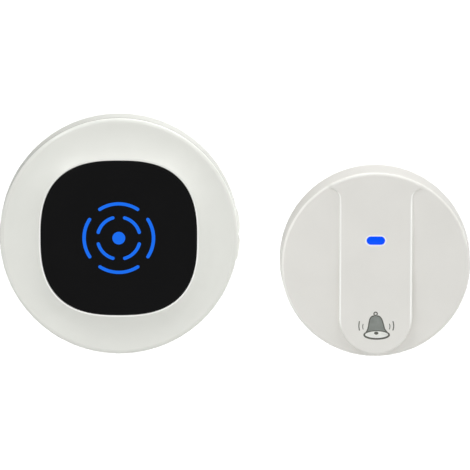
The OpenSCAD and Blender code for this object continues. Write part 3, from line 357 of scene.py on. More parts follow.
def front_shell():
    """A closed section carried round the chime. Each point of the section is a blend between a
    circle of radius r and a rounded square of half width h: d = (1 - share) r + share h(angle).
    The flare's share goes from 0 to 1 while it rises with a power of that share. The wall's two
    key windows are left open, and their edges closed between the outer and the inner wall.
    The rim is made glossier. The lip's edge is made glossier and painted paler as a highlight,
    most along its lower side and sides and least at its top."""
    t = np.linspace(0, 1, 25)
    flare = np.stack([t, ring_inner_r + 0 * t, lip_half + 0 * t,
                      ring_level + (lip_level - ring_level) * t ** flare_power], 1)
    # Each corner: share, r, h and level, from the back edge over the outside to the inside.
    outside = [(0, shell_inner_r, 26, shell_back), (0, shell_r, 26, shell_back),
               (0, window_low_r, 26, window_low), (0, window_high_r, 26, window_high),
               (0, rim_r, 26, ring_level)]
    inside = [(1, ring_inner_r, seat_half, lip_level), (1, ring_inner_r, seat_half, seat_level),
              (1, ring_inner_r, ledge_half, seat_level), (1, ring_inner_r, ledge_half, 23.8),
              (0.6, ring_inner_r, ledge_half, 22.6), (0, 37.0, ledge_half, skin_back),
              (0, shell_inner_r, ledge_half, skin_back),
              (0, shell_inner_r, ledge_half, window_high),
              (0, shell_inner_r, ledge_half, window_low)]
    section = np.array(outside + flare.tolist() + inside, float)
    cuts = np.zeros(len(section))
    cuts[1], cuts[4], cuts[5 + len(t)] = back_rounding, rim_rounding, lip_rounding
    drawn = np.concatenate([section, (1 - section[:, :1]) * section[:, 1:2]
                            + section[:, :1] * section[:, 2:3], section[:, 3:]], 1)
    path = soften(drawn, cuts, 9)
    share, r, h, z = path[:, :1], path[:, 1:2], path[:, 2:3], path[:, 3:4]
    angles, ends = key_columns()
    d = (1 - share) * r + share * squircle(angles[None, :], h)
    grid = np.stack([d * np.cos(angles), d * np.sin(angles), z + 0 * d], -1)
    rows, columns = d.shape
    faces = quads(rows, columns, ring_rows=True).reshape(rows, columns, 4)
    on_wall = [[int(np.argmin(np.hypot(path[:, 4] - radius, path[:, 3] - level)))
                for level in (window_low, window_high)] for radius in (shell_r, shell_inner_r)]
    keep = np.ones((rows, columns), bool)
    sides = []
    for first, last in ((ends[0], ends[1]), (ends[2], ends[3])):
        gap = np.arange(first, last if last > first else last + columns) % columns
        outer, inner = on_wall
        keep[outer[0]:outer[1], gap] = False
        keep[inner[1]:inner[0], gap] = False
        for o, i in zip(outer, inner):
            nxt = (gap + 1) % columns
            sides.append(np.stack([o * columns + gap, o * columns + nxt,
                                   i * columns + nxt, i * columns + gap], 1))
        for c in (gap[0], (gap[-1] + 1) % columns):
            sides.append(np.array([[outer[0] * columns + c, outer[1] * columns + c,
                                    inner[1] * columns + c, inner[0] * columns + c]]))
    # Painted highlight: a paler line on the lip's edge, strongest at its bottom and sides,
    # weakest at the top.
    on_lip = (share[:, 0] > 0.99) & (z[:, 0] > lip_level - lip_highlight_depth)
    on_rim = ((share[:, 0] == 0) & (r[:, 0] > rim_r - rim_shine_width)
              & (z[:, 0] > ring_level - rim_shine_depth))
    gloss_and_highlight = (on_lip[:, None] * np.clip(lip_highlight_level - lip_highlight_swing * np.sin(angles), 0, 1)
              + rim_shine * on_rim[:, None])
    return grid.reshape(-1, 3), np.concatenate([faces[keep]] + sides), gloss_and_highlight.ravel()


def screw_tube(spot):
    """A tube for one case screw, closed where it runs into the front wall."""
    return turned([(tube_bore, tube_low), (tube_r, tube_low), (tube_r, tube_high),
                   (tube_bore, tube_high)], tube_steps, spot)


white_plastic = glossy_edges_with_painted_highlight(finish("satin_white_plastic", white_tone, **moulded_satin),
                             painted_highlight_tone, edge_rough)
tubes = [screw_tube((tube_ring * math.cos(a), tube_ring * math.sin(a)))
         for a in np.radians(tube_angles)]
skin_points, skin_faces, shell_gloss_and_highlight = front_shell()
shell_points, shell_faces = gather([(skin_points, skin_faces)] + tubes)
shell_gloss_and_highlight = np.pad(shell_gloss_and_highlight, (0, len(shell_points) - len(skin_points)))
make_piece("front_shell_moulding", shell_points, shell_faces, chime_centre, white_plastic,
           "chime_white", "wall_units", ["chime_front_shell"], edge_cut=edge_break,
           gloss_and_highlight=shell_gloss_and_highlight)


# ------------------------------ display panel and its light
# A glossy black panel of acrylic, rounded along its front edge and let into the flare's lip.
# A clear guide behind it fills its windows with blue light: a dot and two broken rings.

panel_half, panel_back, panel_front, panel_columns = 26.0, 25.4, 27.4, 256
panel_chamfer, panel_round, panel_rim = 0.2, 0.25, 0.05
figure_line, figure_gap, dot_r = 1.05, 0.05, 2.1
figure_arcs = ((11.575, 66, 0), (7.1, 58, 45))
lines_back, lines_front = 25.3, 27.34
guide_r, guide_back, guide_front, closed_r = 15.1, 23.75, 25.35, 0.001
guide_blue, guide_power = (0.0103, 0.156, 0.871), 0.92


def ways(t):
    """Unit directions (across, up) at the angles t."""
    return np.stack([np.cos(t), np.sin(t)], 1)


def arc_outline(radius, width, middle, span):
    """A band along a circle with round ends, as a loop of points (across, up)."""
    t = np.radians(np.linspace(-span / 2, span / 2, 25)) + math.radians(middle)
    turn = np.radians(np.linspace(0, 180, 13))[1:-1]
    arc = ways(t)
    first, last = [radius * arc[at] + width / 2 * ways(t[at] + start + turn)
                   for at, start in ((-1, 0.0), (0, math.pi))]
    return np.concatenate([(radius + width / 2) * arc, first,
                           (radius - width / 2) * arc[::-1], last])


def figure(grow):
    """The outlines of the lit figure, grown by a distance: for each arc's radius, span and
    first direction four bands, and then the dot."""
    loops = [arc_outline(radius, figure_line + 2 * grow, first + q, span)
             for radius, span, first in figure_arcs for q in (0, 90, 180, 270)]
    return loops + [(dot_r + grow) * ways(np.radians(np.linspace(0, 360, 65))[:-1])]


def capped(rows, columns):
    """Faces of rings of points that follow each other, closed across at both ends."""
    last = (rows - 1) * columns
    return quads(rows, columns).tolist() + [list(range(columns))[::-1],
                                            list(range(last, last + columns))]


def prism(loop, low, high):
    """A flat loop of points drawn out between two heights and closed at both ends."""
    level = np.repeat([low, high], len(loop))[:, None]
    return np.concatenate([np.tile(loop, (2, 1)), level], 1), capped(2, len(loop))


def cut_away(piece, points, faces, centre):
    """Takes a closed form out of a piece, for good."""
    cutter = make_piece("cutter", points, faces, centre, black_gloss, "panel_black",
                        "wall_units", [])
    cutter.modifiers.clear()
    hole = piece.modifiers.new("hole", "BOOLEAN")
    hole.operation, hole.solver, hole.object = "DIFFERENCE", "EXACT", cutter
    bpy.context.view_layer.update()
    seen = bpy.context.evaluated_depsgraph_get()
    mesh = bpy.data.meshes.new_from_object(piece.evaluated_get(seen))
    piece.modifiers.clear()
    piece.data = mesh
    shade_evenly(piece)
    bpy.data.objects.remove(cutter)


def panel_slab():
    """Rounded squares stacked from the back edge over a quarter-round front edge, with a flat
    rim just inside it. The last ring is filled across."""
    t = np.radians(np.linspace(0, 90, 9))
    half = np.concatenate([[panel_half - panel_chamfer, panel_half],
                           panel_half - panel_round + panel_round * np.cos(t),
                           [panel_half - panel_round - panel_rim]])
    level = np.concatenate([[panel_back, panel_back + panel_chamfer],
                            panel_front - panel_round + panel_round * np.sin(t), [panel_front]])
    a = np.linspace(0, 2 * np.pi, panel_columns, endpoint=False)[None, :]
    d = squircle(a, half[:, None])
    points = np.stack([d * np.cos(a), d * np.sin(a), level[:, None] + 0 * d], -1).reshape(-1, 3)
    return points, capped(len(half), panel_columns)


black_gloss = finish("gloss_black_acrylic", (0.0045, 0.0045, 0.0048), depth=0.06, grain=1.5,
                     bump=0.0, rough=(0.05, 0.07), specular=0.12)
panel = make_piece("gloss_panel", *panel_slab(), chime_centre, black_gloss, "panel_black",
                   "wall_units", ["display_panel"])
cut_away(panel, *gather([prism(loop, panel_back - 1, panel_front + 1)
                         for loop in figure(figure_gap)]), chime_centre)


def lit(name, tone, power):
    """Clear plastic lit from behind: its own glow, a little stronger and weaker in slow clouds,
    under a clear glossy face."""
    body_share, patches, swing = 0.1, 160.0, 0.07
    material = finish(name, [c * body_share for c in tone], depth=0.1, grain=0.6, bump=0.0,
                      rough=(0.12, 0.2), specular=0.07)
    tree = material.node_tree
    shader = tree.nodes["Principled BSDF"]
    place = add_node(tree, "ShaderNodeTexCoord")
    patchy = add_node(tree, "ShaderNodeTexNoise", {"Scale": patches})
    glow = add_node(tree, "ShaderNodeMapRange", {"To Min": power * (1 - swing),
                                                 "To Max": power * (1 + swing)})
    link(tree, place.outputs["Object"], patchy.inputs["Vector"])
    link(tree, patchy.outputs["Fac"], glow.inputs["Value"])
    link(tree, glow.outputs["Result"], shader.inputs["Emission Strength"])
    shader.inputs["Emission Color"].default_value = (*tone, 1)
    return material


guide_glow = lit("blue_guide_light", guide_blue, guide_power)
guide_parts = [prism(loop, lines_back, lines_front) for loop in figure(0)]
guide_parts.append(turned([(closed_r, guide_back), (guide_r, guide_back),
                           (guide_r, guide_front), (closed_r, guide_front)], 96))
make_piece("light_guide_moulding", *gather(guide_parts), chime_centre, guide_glow,
           "blue_light", "wall_units", ["light_guide"])


# ------------------------------ melody and volume keys
# Two small keys of the same white plastic in the right wall, one over the other. Each fills
# its opening, has a rim behind the wall that keeps it in, and a nose that meets its switch.

key_up, key_out, key_half_up, key_half_out = 4.7, 18.1, 4.2, 2.2
key_wall_r, key_proud, key_crown, key_corner = 39.8, 0.78, 0.42, 0.5
keeper_r, keeper_front_r, keeper_half_out = 36.3, 37.85, 3.0
round_up, round_out, round_corner = 0.8, 1.0, 0.2
face_up, face_out, face_corner = [2.9, 2.3, 1.8], [0.9, 0.5, 0.2], [0.25, 0.18, 0.1]
nose_half, nose_corner, nose_ends = 1.2, 0.2, (35.3, 36.8)


def rounded_box(half_up, half_out, corner, count=8):
    """A rectangle with round corners as a loop of (up, out), all its corners alike."""
    quarter = corner * ways(np.radians(np.linspace(0, 90, count)))
    loops = []
    for k, (sx, sy) in enumerate(((1, 1), (-1, 1), (-1, -1), (1, -1))):
        c, s = math.cos(k * math.pi / 2), math.sin(k * math.pi / 2)
        hub = np.array([sx * (half_up - corner), sy * (half_out - corner)])
        loops.append(hub + quarter @ np.array([[c, s], [-s, c]]))
    return np.concatenate(loops)


def key_form(side):
    """Rounded rectangles stacked outwards along the wall's radius. Each point's distance
    across follows the wall's curve, x = sqrt(R^2 - up^2), so the face is bent like the wall.
    What stands proud is crowned: R falls with the square of the height from the middle."""
    middle, t = side * key_up, np.radians(np.linspace(0, 90, 9))
    turn_in = (1 - np.cos(t))[1:]
    radius = np.concatenate([[keeper_r, keeper_front_r, keeper_front_r, key_wall_r],
                             key_wall_r + key_proud * np.sin(t)[1:],
                             [key_wall_r + key_proud] * 3])
    half_up = np.concatenate([[key_half_up] * 4, key_half_up - round_up * turn_in, face_up])
    half_out = np.concatenate([[keeper_half_out] * 2, [key_half_out] * 2,
                               key_half_out - round_out * turn_in, face_out])
    corner = np.concatenate([[key_corner] * 4, key_corner - round_corner * turn_in, face_corner])
    rings = []
    for big_r, hu, ho, c in zip(radius, half_up, half_out, corner):
        loop = rounded_box(hu, ho, c)
        up = middle + loop[:, 0]
        fall = (key_crown * max(0, big_r - key_wall_r) / key_proud
                * (loop[:, 0] / key_half_up) ** 2)
        rings.append(np.stack([np.sqrt((big_r - fall) ** 2 - up ** 2), up,
                               key_out + loop[:, 1]], 1))
    nose = rounded_box(nose_half, nose_half, nose_corner, 4)
    noses = [np.column_stack([np.full(len(nose), x), middle + nose[:, 0], key_out + nose[:, 1]])
             for x in nose_ends]
    return gather([(np.concatenate(loops), capped(len(loops), len(loops[0])))
                   for loops in (rings, noses)])


for key_name, side in (("melody", 1), ("volume", -1)):
    make_piece(key_name + "_key_moulding", *key_form(side), chime_centre, white_plastic,
               "chime_white", key_name + "_key_part", [key_name + "_key"])


# ------------------------------ button cover
# One moulding in the same white plastic, thin end down: a round drum with a soft rim, two
# sloping wings, and a raised bar down the middle whose top end flares out into the rim and
# whose lower end is round. A slot in the bar takes the light's lens.

button_centre = (86.0, -11.3)
wing_tilt, wing_middle = 4.9, 14.3
wing_slope = math.tan(math.radians(wing_tilt))
# The bar stands this high over the wings at these two heights up.
top_step, top_step_up, low_step, low_step_up = 0.5, 26.0, 3.0, -30.4
step_rate = (low_step - top_step) / (top_step_up - low_step_up)
bar_slope = wing_slope - step_rate
bar_middle = wing_middle + top_step + step_rate * top_step_up
bar_half, bar_low, flare_up, flare_r = 12.2, -18.2, 22.8, 3.7
inner_half, inner_flare, pocket_half, pocket_share = 7.0, 0.75, 10.4, 0.86
edge_round, foot_round, cover_skin, fade_room, fade_low = 0.6, 0.3, 1.8, 0.8, 9.0
# Rim gloss: its mean, the painted highlight added on the left side, and the amount taken off at
# the top.
gloss_mean, left_rim_painted_highlight, gloss_top = 0.45, 0.3, 0.3
rim_inner, rim_round, wall_inner = 30.6, 1.2, 30.3
wall_foot = ((32.19, 1.75), (32.15, 1.63), (32.05, 1.6), (wall_inner, 1.6))
slot_up, slot_half, slot_round = 8.6, 1.675, 1.425
slot_steps = ((0, cover_skin), (0, 0.22), (0.06, 0.07), (0.45, 0), (0.55, 0))
hinge_up, hinge_out, ear_r, bore_r, ear_width, ear_lefts = 26.0, 5.2, 1.9, 1.04, 2.0, (6.0, -8.0)
ear_kink, ear_root = 9.0, 15.2
catch_from, catch_to = -114, -66
catch_section = [(28.8, 1.75), (28.95, 1.6), (30.6, 1.6), (30.6, 2.3), (28.8, 2.3)]
post_section = [(closed_r, 12.99), (1.8, 12.99), (2.0, 13.2), (2.0, 14.5), (closed_r, 14.5)]
post_up, button_tone = 2, (0.776, 0.766, 0.727)


def bar_plan():
    """The bar's outline as one loop of columns: along the rim's arc from right to left, down
    the left flare and side, round the low end, and up the right side and flare. Beside each
    point stand its direction out of the bar, the rim angle that its column runs out to, and
    whether it lies on the rim's arc."""
    hub = np.array([-bar_half - flare_r, flare_up])
    reach = np.hypot(*hub)
    rim_meets = math.atan2(hub[1], hub[0]) - math.acos(
        (rim_inner ** 2 - reach ** 2 - flare_r ** 2) / (2 * flare_r * reach))
    flare = np.linspace(rim_meets, 0, 15)[:-1]
    arc_end = math.atan2(hub[1] + flare_r * math.sin(rim_meets),
                         hub[0] + flare_r * math.cos(rim_meets))
    arc = np.linspace(math.pi - arc_end, arc_end, 52)[1:-1]
    down = np.linspace(flare_up, bar_low, 91)[:-1]
    low = np.radians(np.linspace(180, 360, 61))[:-1]
    left = [hub + flare_r * ways(flare), np.stack([np.full(len(down), -bar_half), down], 1)]
    left_out = [-ways(flare), np.stack([-np.ones(len(down)), 0 * down], 1)]
    bottom = bar_half * ways(low) + [0, bar_low]
    right = [part[::-1] * [-1, 1] for part in (left[1], left[0])]
    right_out = [part[::-1] * [-1, 1] for part in (left_out[1], left_out[0])]
    top = rim_inner * ways(arc)
    plan = np.concatenate([top, *left, bottom, *right])
    out = np.concatenate([top / rim_inner, *left_out, ways(low), *right_out])
    side_turns, low_turns = np.radians([133, 178, 232]), np.radians([232, 270, 308])
    flare_angle = np.interp(flare, [0, rim_meets], [side_turns[0], arc_end])
    down_angle = np.interp(-down, [-flare_up, -1.0, -bar_low], side_turns)
    low_angle = np.interp(low, np.pi * np.array([1, 1.5, 2]), low_turns)
    left_angle = np.concatenate([flare_angle, down_angle])
    angle = np.concatenate([arc, left_angle, low_angle, (np.pi - left_angle[::-1])])
    is_top = np.zeros(len(plan), bool)
    is_top[:len(arc)] = True
    return plan, out, angle, is_top


def wing(up):
    """The wings' plane, z = a + b * up."""
    return wing_middle + wing_slope * up


def bar(up):
    """The plane of the bar's top, z = a + b * up."""
    return bar_middle + bar_slope * up


def raised(spots, plane, drop=0.0):
    """Spots (across, up) at a plane's height over them, less a drop."""
    return np.column_stack([spots, plane(spots[:, 1]) - drop])


def cover_surface():
    """A closed section carried round the bar's outline. In each column it runs from the lens
    slot over the bar's plane and its rounded edge, down the step to the wing's plane, out to
    the rim, down the side wall, and back inside under the wing and the bar to the slot.
    Heights are those of the planes, less the drop of each rounding. The edge's rounding
    shrinks to nothing at the flare's tip, so that it stays outside the line from the tip to the
    bar's inner columns. The bar's edge and the slot's edge are made glossier and painted paler as
    a highlight; the rim is made glossier, and on its left side also painted paler as a highlight."""
    plan, out, angle, is_top = bar_plan()
    rim_way = ways(angle)
    room = np.clip(rim_inner - np.hypot(plan[:, 0], plan[:, 1]), 0, None)
    up = plan[:, 1]
    step = np.where(is_top, 0, bar(up) - wing(up))
    fade = np.clip(room / fade_room, 0.02, 1)
    inner = plan.copy()
    inner[:, 0] = np.clip(plan[:, 0], -bar_half, bar_half) * inner_half / bar_half
    inner[:, 1] = np.select([up < bar_low, up > flare_up],
                            [bar_low + (up - bar_low) * inner_half / bar_half,
                             flare_up + (up - flare_up) * inner_flare], up)
    inner[is_top, 0] = rim_way[is_top, 0] / np.abs(rim_way[~is_top, 0][0]) * inner_half
    towards = np.arctan2(inner[:, 1] - slot_up, inner[:, 0])
    tip, away = plan[~is_top][0], inner[~is_top][0] - plan[~is_top][0]
    below = (away[1] * (-np.abs(plan[:, 0]) - tip[0])
             - away[0] * (up - tip[1])) / np.hypot(*away)
    edge_r = np.where(is_top, 0, np.minimum(np.minimum(edge_round, 0.8 * step),
                                            0.6 * np.clip(below, 0, None)))
    foot_r = np.where(is_top, 0, np.minimum(np.minimum(foot_round, step - edge_r), room * 0.5))

    def slot(grow):
        """The stadium's edge in the direction of each column, seen from its centre."""
        c, s = np.abs(np.cos(towards)), np.abs(np.sin(towards))
        radius = slot_round + grow
        flat = radius / np.maximum(s, 1e-9)
        round_end = slot_half * c + np.sqrt(np.maximum(radius ** 2 - (slot_half * s) ** 2, 0))
        d = np.where(flat * c <= slot_half, flat, round_end)
        return d[:, None] * ways(towards) + [0, slot_up]

    rows = [raised(slot(grow), bar, drop) for grow, drop in slot_steps] + [raised(inner, bar)]
    for share in (0.35, 0.7):
        rows.append(raised(inner * (1 - share) + (plan - out * edge_r[:, None]) * share, bar))
    rows.append(raised(plan - out * (edge_r + 0.04 * fade)[:, None], bar))
    # The slot's edge rows get full gloss and a paler painted highlight.
    gloss_and_highlight = [0 * fade + (k < 4) for k in range(len(rows))]
    # A painted highlight along the bar's edges, fading out towards the flares' tips and round the
    # low end.
    bar_edge_painted_highlight = np.where(is_top, 0, np.clip((room - 0.4) / 3, 0, 1)
                          * np.clip((up - bar_low + fade_low) / fade_low, 0, 1))
    for t in np.radians(np.linspace(0, 90, 7)):
        rows.append(raised(plan - out * (edge_r * (1 - math.sin(t)))[:, None], bar,
                           edge_r * (1 - math.cos(t))))
        gloss_and_highlight.append(bar_edge_painted_highlight * min(1.0, 4.0 * math.cos(t)))
    face = lambda up: np.where(is_top, bar(up), wing(up))
    for t in np.radians(np.linspace(0, 90, 5)):
        spots = plan + out * (foot_r * (1 - math.cos(t)))[:, None]
        rows.append(raised(spots, face, -foot_r * (1 - math.sin(t))))
    foot = rows[-1][:, :2]
    for share in (0.03, 0.3, 0.6, 0.9):
        rows.append(raised(foot * (1 - share) + rim_inner * rim_way * share, face))
    left, top = np.clip(-rim_way[:, 0], 0, 1), np.clip(rim_way[:, 1], 0, 1)
    # On the left side the rim's value passes one half, so there it is also painted paler as a
    # highlight.
    rim_gloss_and_highlight_level = gloss_mean + left_rim_painted_highlight * left - gloss_top * top ** 3
    rim_gloss_and_highlight = {}
    for t in np.radians(np.linspace(0, 90, 10)):
        spots = (rim_inner + rim_round * math.sin(t)) * rim_way
        rows.append(raised(spots, face, rim_round * (1 - math.cos(t))))
        rim_gloss_and_highlight[len(rows) - 1] = rim_gloss_and_highlight_level * min(1, 2 * math.sin(2 * t))
    for r, level in wall_foot:
        rows.append(np.column_stack([r * rim_way, np.full(len(plan), level)]))
    rows.append(raised(wall_inner * rim_way, wing, cover_skin))
    pocket = plan * [pocket_half / bar_half, pocket_share]
    pocket[:, 0] = np.clip(pocket[:, 0], -pocket_half, pocket_half)
    rows += [raised(pocket, wing, cover_skin), raised(pocket, bar, cover_skin)]
    grid = np.stack(rows)
    gloss_and_highlight += [rim_gloss_and_highlight.get(k, 0) + 0 * fade for k in range(len(gloss_and_highlight), len(rows))]
    return grid.reshape(-1, 3), quads(len(rows), len(plan), ring_rows=True), np.stack(gloss_and_highlight)


def hinge_ear(left):
    """A plate with a round end about the hinge's axis, bored for the pin: two outlines of equal
    counts, the plate's edge and the bore, joined in a closed ring of four corners."""
    t = np.radians(np.linspace(180, 360, 25))
    edge_up = hinge_up + ear_r * np.concatenate([np.cos(t), [1, 1, -1, -1]])
    edge_out = np.concatenate([hinge_out + ear_r * np.sin(t),
                               [ear_kink, ear_root, ear_root, ear_kink]])
    bore = np.arctan2(edge_out - hinge_out, edge_up - hinge_up)
    bore_up, bore_out = hinge_up + bore_r * np.cos(bore), hinge_out + bore_r * np.sin(bore)
    loops = [(left, edge_up, edge_out), (left + ear_width, edge_up, edge_out),
             (left + ear_width, bore_up, bore_out), (left, bore_up, bore_out)]
    points = np.concatenate([np.column_stack([np.full(len(u), x), u, o]) for x, u, o in loops])
    return points, quads(4, len(edge_up), ring_rows=True)


def catch_lip():
    """The catch on the inside of the wall, low down: its section carried along an arc."""
    a = np.radians(np.linspace(catch_from, catch_to, 33))
    points = np.concatenate([np.column_stack([r * np.cos(a), r * np.sin(a), z + 0 * a])
                             for r, z in catch_section])
    n, corners = len(a), len(catch_section)
    ends = [[k * n for k in range(corners)][::-1], [k * n + n - 1 for k in range(corners)]]
    return points, quads(corners, n, ring_rows=True, ring_columns=False).tolist() + ends


button_plastic = glossy_edges_with_painted_highlight(finish("button_white_plastic", button_tone, **moulded_satin),
                              painted_highlight_tone, edge_rough)
cover_points, cover_faces, cover_gloss_and_highlight = cover_surface()
cover_form = gather([(cover_points, cover_faces), *map(hinge_ear, ear_lefts), catch_lip(),
                     turned(post_section, 48, (0, post_up))])
cover_gloss_and_highlight = np.pad(cover_gloss_and_highlight.ravel(), (0, len(cover_form[0]) - len(cover_points)))
make_piece("button_cover_moulding", *cover_form, button_centre, button_plastic, "button_white",
           "push_cover", ["button_cover"], gloss_and_highlight=cover_gloss_and_highlight)


# ------------------------------ lens of the button's light
# A clear moulding with a flange behind it, glued into the bar's slot from behind. Its face
# lies just under the bar's and is a little domed, and the light below makes it blue.

lens_round, lens_half, lens_blue, lens_power = 1.375, 1.625, (0.0, 0.08, 1.0), 1.0
lens_grows = [1.0, 1.0, 0.0, 0.0, -0.06, -0.2, -0.45, -0.8, -1.2, -1.36]
lens_drops = [3.0, 1.85, 1.85, 0.22, 0.10, 0.05, 0.03, 0.01, 0.0, 0.0]


def stadium(grow):
    """The lens's outline, grown by a distance, as a loop of (across, up) about its centre."""
    end = (lens_round + grow) * ways(np.radians(np.linspace(-90, 90, 20))) + [lens_half, 0]
    return np.concatenate([end, -end])


def lens_form():
    """The outline grown and shrunk from the flange to the dome, each ring at its drop below
    the bar's plane."""
    rings = [raised(stadium(grow) + [0, slot_up], bar, drop)
             for grow, drop in zip(lens_grows, lens_drops)]
    return np.concatenate(rings), capped(len(rings), len(rings[0]))


lens_glow = lit("blue_button_light", lens_blue, lens_power)
make_piece("lens_moulding", *lens_form(), button_centre, lens_glow, "blue_light", "push_cover",
           ["led_lens"])


# ------------------------------ printed bell
# Grey ink printed on the bar's lower end: a hand bell with a ring on top, its mouth and
# clapper, and two short strokes on each side of it. Each patch is a thin film of ink.

printed = {"grain": 0.2, "bump": 0.1, "rough": (0.5, 0.65), "specular": 0.3}
ink_dark = finish("grey_ink", (0.115, 0.119, 0.102), depth=0.06, cloud=400, **printed)
ink_mid = finish("bell_ink", (0.242, 0.262, 0.242), depth=0.08, cloud=500, **printed)
ink_pale = finish("mouth_ink", (0.81, 0.82, 0.78), depth=0.03, cloud=500, **printed)
film_depth, body_lift, mark_lift, side_lift = 0.02, 0.022, 0.024, 0.030
loop_lift, fill_lift, mouth_lift, clapper_lift = 0.034, 0.036, 0.040, 0.042
bell_up = [-17.15, -17.35, -17.8, -18.47, -19.6, -20.8, -21.6, -22.25, -22.9, -23.4]
bell_left = [-0.59, -1.33, -1.78, -2.09, -2.31, -2.49, -2.68, -2.91, -3.28, -3.80]
bell_right = [0.75, 1.45, 1.92, 2.32, 2.70, 2.99, 3.22, 3.59, 4.18, 4.80]
body_inset, side_line, loop_line = 0.15, 0.40, 0.38
mouth_mid, mouth_half, mouth_line, mouth_thin = (0.42, -23.70), (4.18, 1.38), 0.60, 0.30
loop_mid, loop_r, clapper_mid, clapper_half = (0.04, -16.46), 0.56, (0.29, -23.12), (0.74, 0.52)
# Each stroke beside the bell: across, up from, up to, bow, width.
motion_marks = ((-5.36, -19.0, -22.2, -0.2, 0.36), (5.85, -19.0, -22.2, 0.3, 0.36),
                (-4.1, -19.95, -21.85, -0.18, 0.27), (4.7, -19.9, -21.8, 0.18, 0.27))


def film(grid, lift):
    """A grid of (across, up) spots laid on the bar's plane as a film with its edges closed."""
    rows, columns = grid.shape[:2]
    flat = grid.reshape(-1, 2)
    top, under = raised(flat, bar, -lift), raised(flat, bar, film_depth)
    face = quads(rows, columns, ring_columns=False)
    index = np.arange(rows * columns).reshape(rows, columns)
    rim = np.concatenate([index[0, :-1], index[:-1, -1], index[-1, :0:-1], index[:0:-1, 0]])
    after = np.roll(rim, -1)
    n = rows * columns
    walls = np.stack([rim, after, after + n, rim + n], 1)
    return np.concatenate([top, under]), np.concatenate([face, face[:, ::-1] + n, walls])


def stroke(path, width, lift):
    """A band of ink along a path: the path moved by half its width to each side."""
    path = np.array(path, float)
    way = np.gradient(path, axis=0)
    way /= np.hypot(way[:, 0], way[:, 1])[:, None]
    side = np.stack([-way[:, 1], way[:, 0]], 1) * np.reshape(width, (-1, 1)) / 2
    return film(np.stack([path - side, path + side], 1), lift)


def oval(middle, half_wide, half_high):
    """An ellipse as a closed path of (across, up) about its middle."""
    return middle + ways(np.linspace(0, 2 * np.pi, 73)) * [half_wide, half_high]


def filled(middle, path):
    """A grid of spots between the middle of a closed path and the path."""
    return np.stack([middle + k * (path - middle) for k in (0.02, 0.5, 1.0)], 0)


def side_arc(across, up_from, up_to, bow):
    """A short upright stroke that bows away from the bell."""
    t = np.linspace(-1, 1, 15)
    return np.stack([across + bow * (1 - t ** 2), (up_from + up_to) / 2
                     + t * (up_to - up_from) / 2], 1)


up = np.linspace(bell_up[0], bell_up[-1], 40)
left = np.interp(-up, [-k for k in bell_up], bell_left) + body_inset
right = np.interp(-up, [-k for k in bell_up], bell_right) - body_inset
body = np.stack([np.stack([left * (1 - k) + right * k, up], 1) for k in np.linspace(0, 1, 9)], 1)
mouth = oval(mouth_mid, *mouth_half)
clapper = filled(clapper_mid, oval(clapper_mid, *clapper_half))
upper_side = np.clip(np.sin(np.linspace(0, 2 * np.pi, len(mouth))), 0, 1)
dark_parts = [stroke(np.stack([side, up], 1), side_line, side_lift) for side in (left, right)]
dark_parts += [stroke(mouth, mouth_line - mouth_thin * upper_side, mouth_lift),
               stroke(oval(loop_mid, loop_r, loop_r), loop_line, loop_lift),
               film(clapper, clapper_lift)]
dark_parts += [stroke(side_arc(*mark), width, mark_lift) for *mark, width in motion_marks]
pale_parts = [film(filled(mouth_mid, mouth), fill_lift)]
for film_name, parts, ink in (("bell_outline_print", dark_parts, ink_dark),
                              ("bell_body_print", [film(body, body_lift)], ink_mid),
                              ("bell_mouth_print", pale_parts, ink_pale)):
    make_piece(film_name, *gather(parts), button_centre, ink, "button_white", "push_cover", [])


# ------------------------------ carried-over plastic parts
# Moulded parts that the photograph doesn't show. They keep their solids' shapes and get the
# finish of the stuff that each is made of.


def dress(material, *names):
    """Gives the solids of these nodes their finish."""
    for name in names:
        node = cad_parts[name]
        node.data.materials.clear()
        node.data.materials.append(material)


dress(finish("rear_white_plastic", white_tone, depth=0.02, grain=0.7, bump=0.12,
             rough=(0.48, 0.6), specular=0.4),
      "chime_rear_shell", "button_base", "battery_door", "wall_plate", "inner_lid", "plug_insert")
dress(finish("inner_white_plastic", (0.70, 0.70, 0.67), depth=0.03, grain=0.5, bump=0.1,
             rough=(0.42, 0.55)),
      "light_shroud", "melody_switch_stem", "volume_switch_stem")
dress(finish("black_moulded_plastic", (0.018, 0.018, 0.019), depth=0.15, grain=0.3, bump=0.12,
             rough=(0.38, 0.55)),
      "melody_chip", "transmitter_chip", "melody_switch", "volume_switch", "button_switch",
      "filter_capacitor", "button_switch_stem")


# ------------------------------ carried-over metal parts
# Screws, pins, springs, wires and the loudspeaker's basket. Sheet parts are pressed, pins and
# screws are drawn or turned, so their grain runs along them.

dress(finish("plated_steel", (0.56, 0.565, 0.57), depth=0.05, cloud=180, grain=0.25, bump=0.04,
             rough=(0.24, 0.38), metal=1.0, stretch=(1, 0.2, 1)),
      "speaker_frame", "chime_screws", "lid_screws", "radio_crystal")
dress(finish("drawn_steel", (0.60, 0.60, 0.595), depth=0.04, cloud=180, grain=0.2, bump=0.05,
             rough=(0.18, 0.30), metal=1.0, stretch=(0.15, 1, 1)), "hinge_pin")
dress(finish("nickel_plate", (0.66, 0.635, 0.59), depth=0.04, cloud=160, grain=0.25, bump=0.04,
             rough=(0.14, 0.26), metal=1.0, stretch=(1, 0.15, 1)), "plug_pins")
dress(finish("spring_brass", (0.68, 0.49, 0.21), depth=0.07, cloud=240, grain=0.3, bump=0.05,
             rough=(0.22, 0.36), metal=1.0, stretch=(1, 1, 0.3)),
      "mains_contacts", "cell_clip", "cell_leaf")
dress(finish("bare_copper", (0.62, 0.25, 0.13), depth=0.08, cloud=400, grain=0.3, bump=0.03,
             rough=(0.26, 0.40), metal=1.0), "chime_antenna", "button_antenna")
dress(finish("cell_steel", (0.62, 0.62, 0.61), depth=0.05, cloud=120, grain=0.2, bump=0.05,
             rough=(0.20, 0.34), metal=1.0, stretch=(1, 1, 0.2)), "coin_cell")


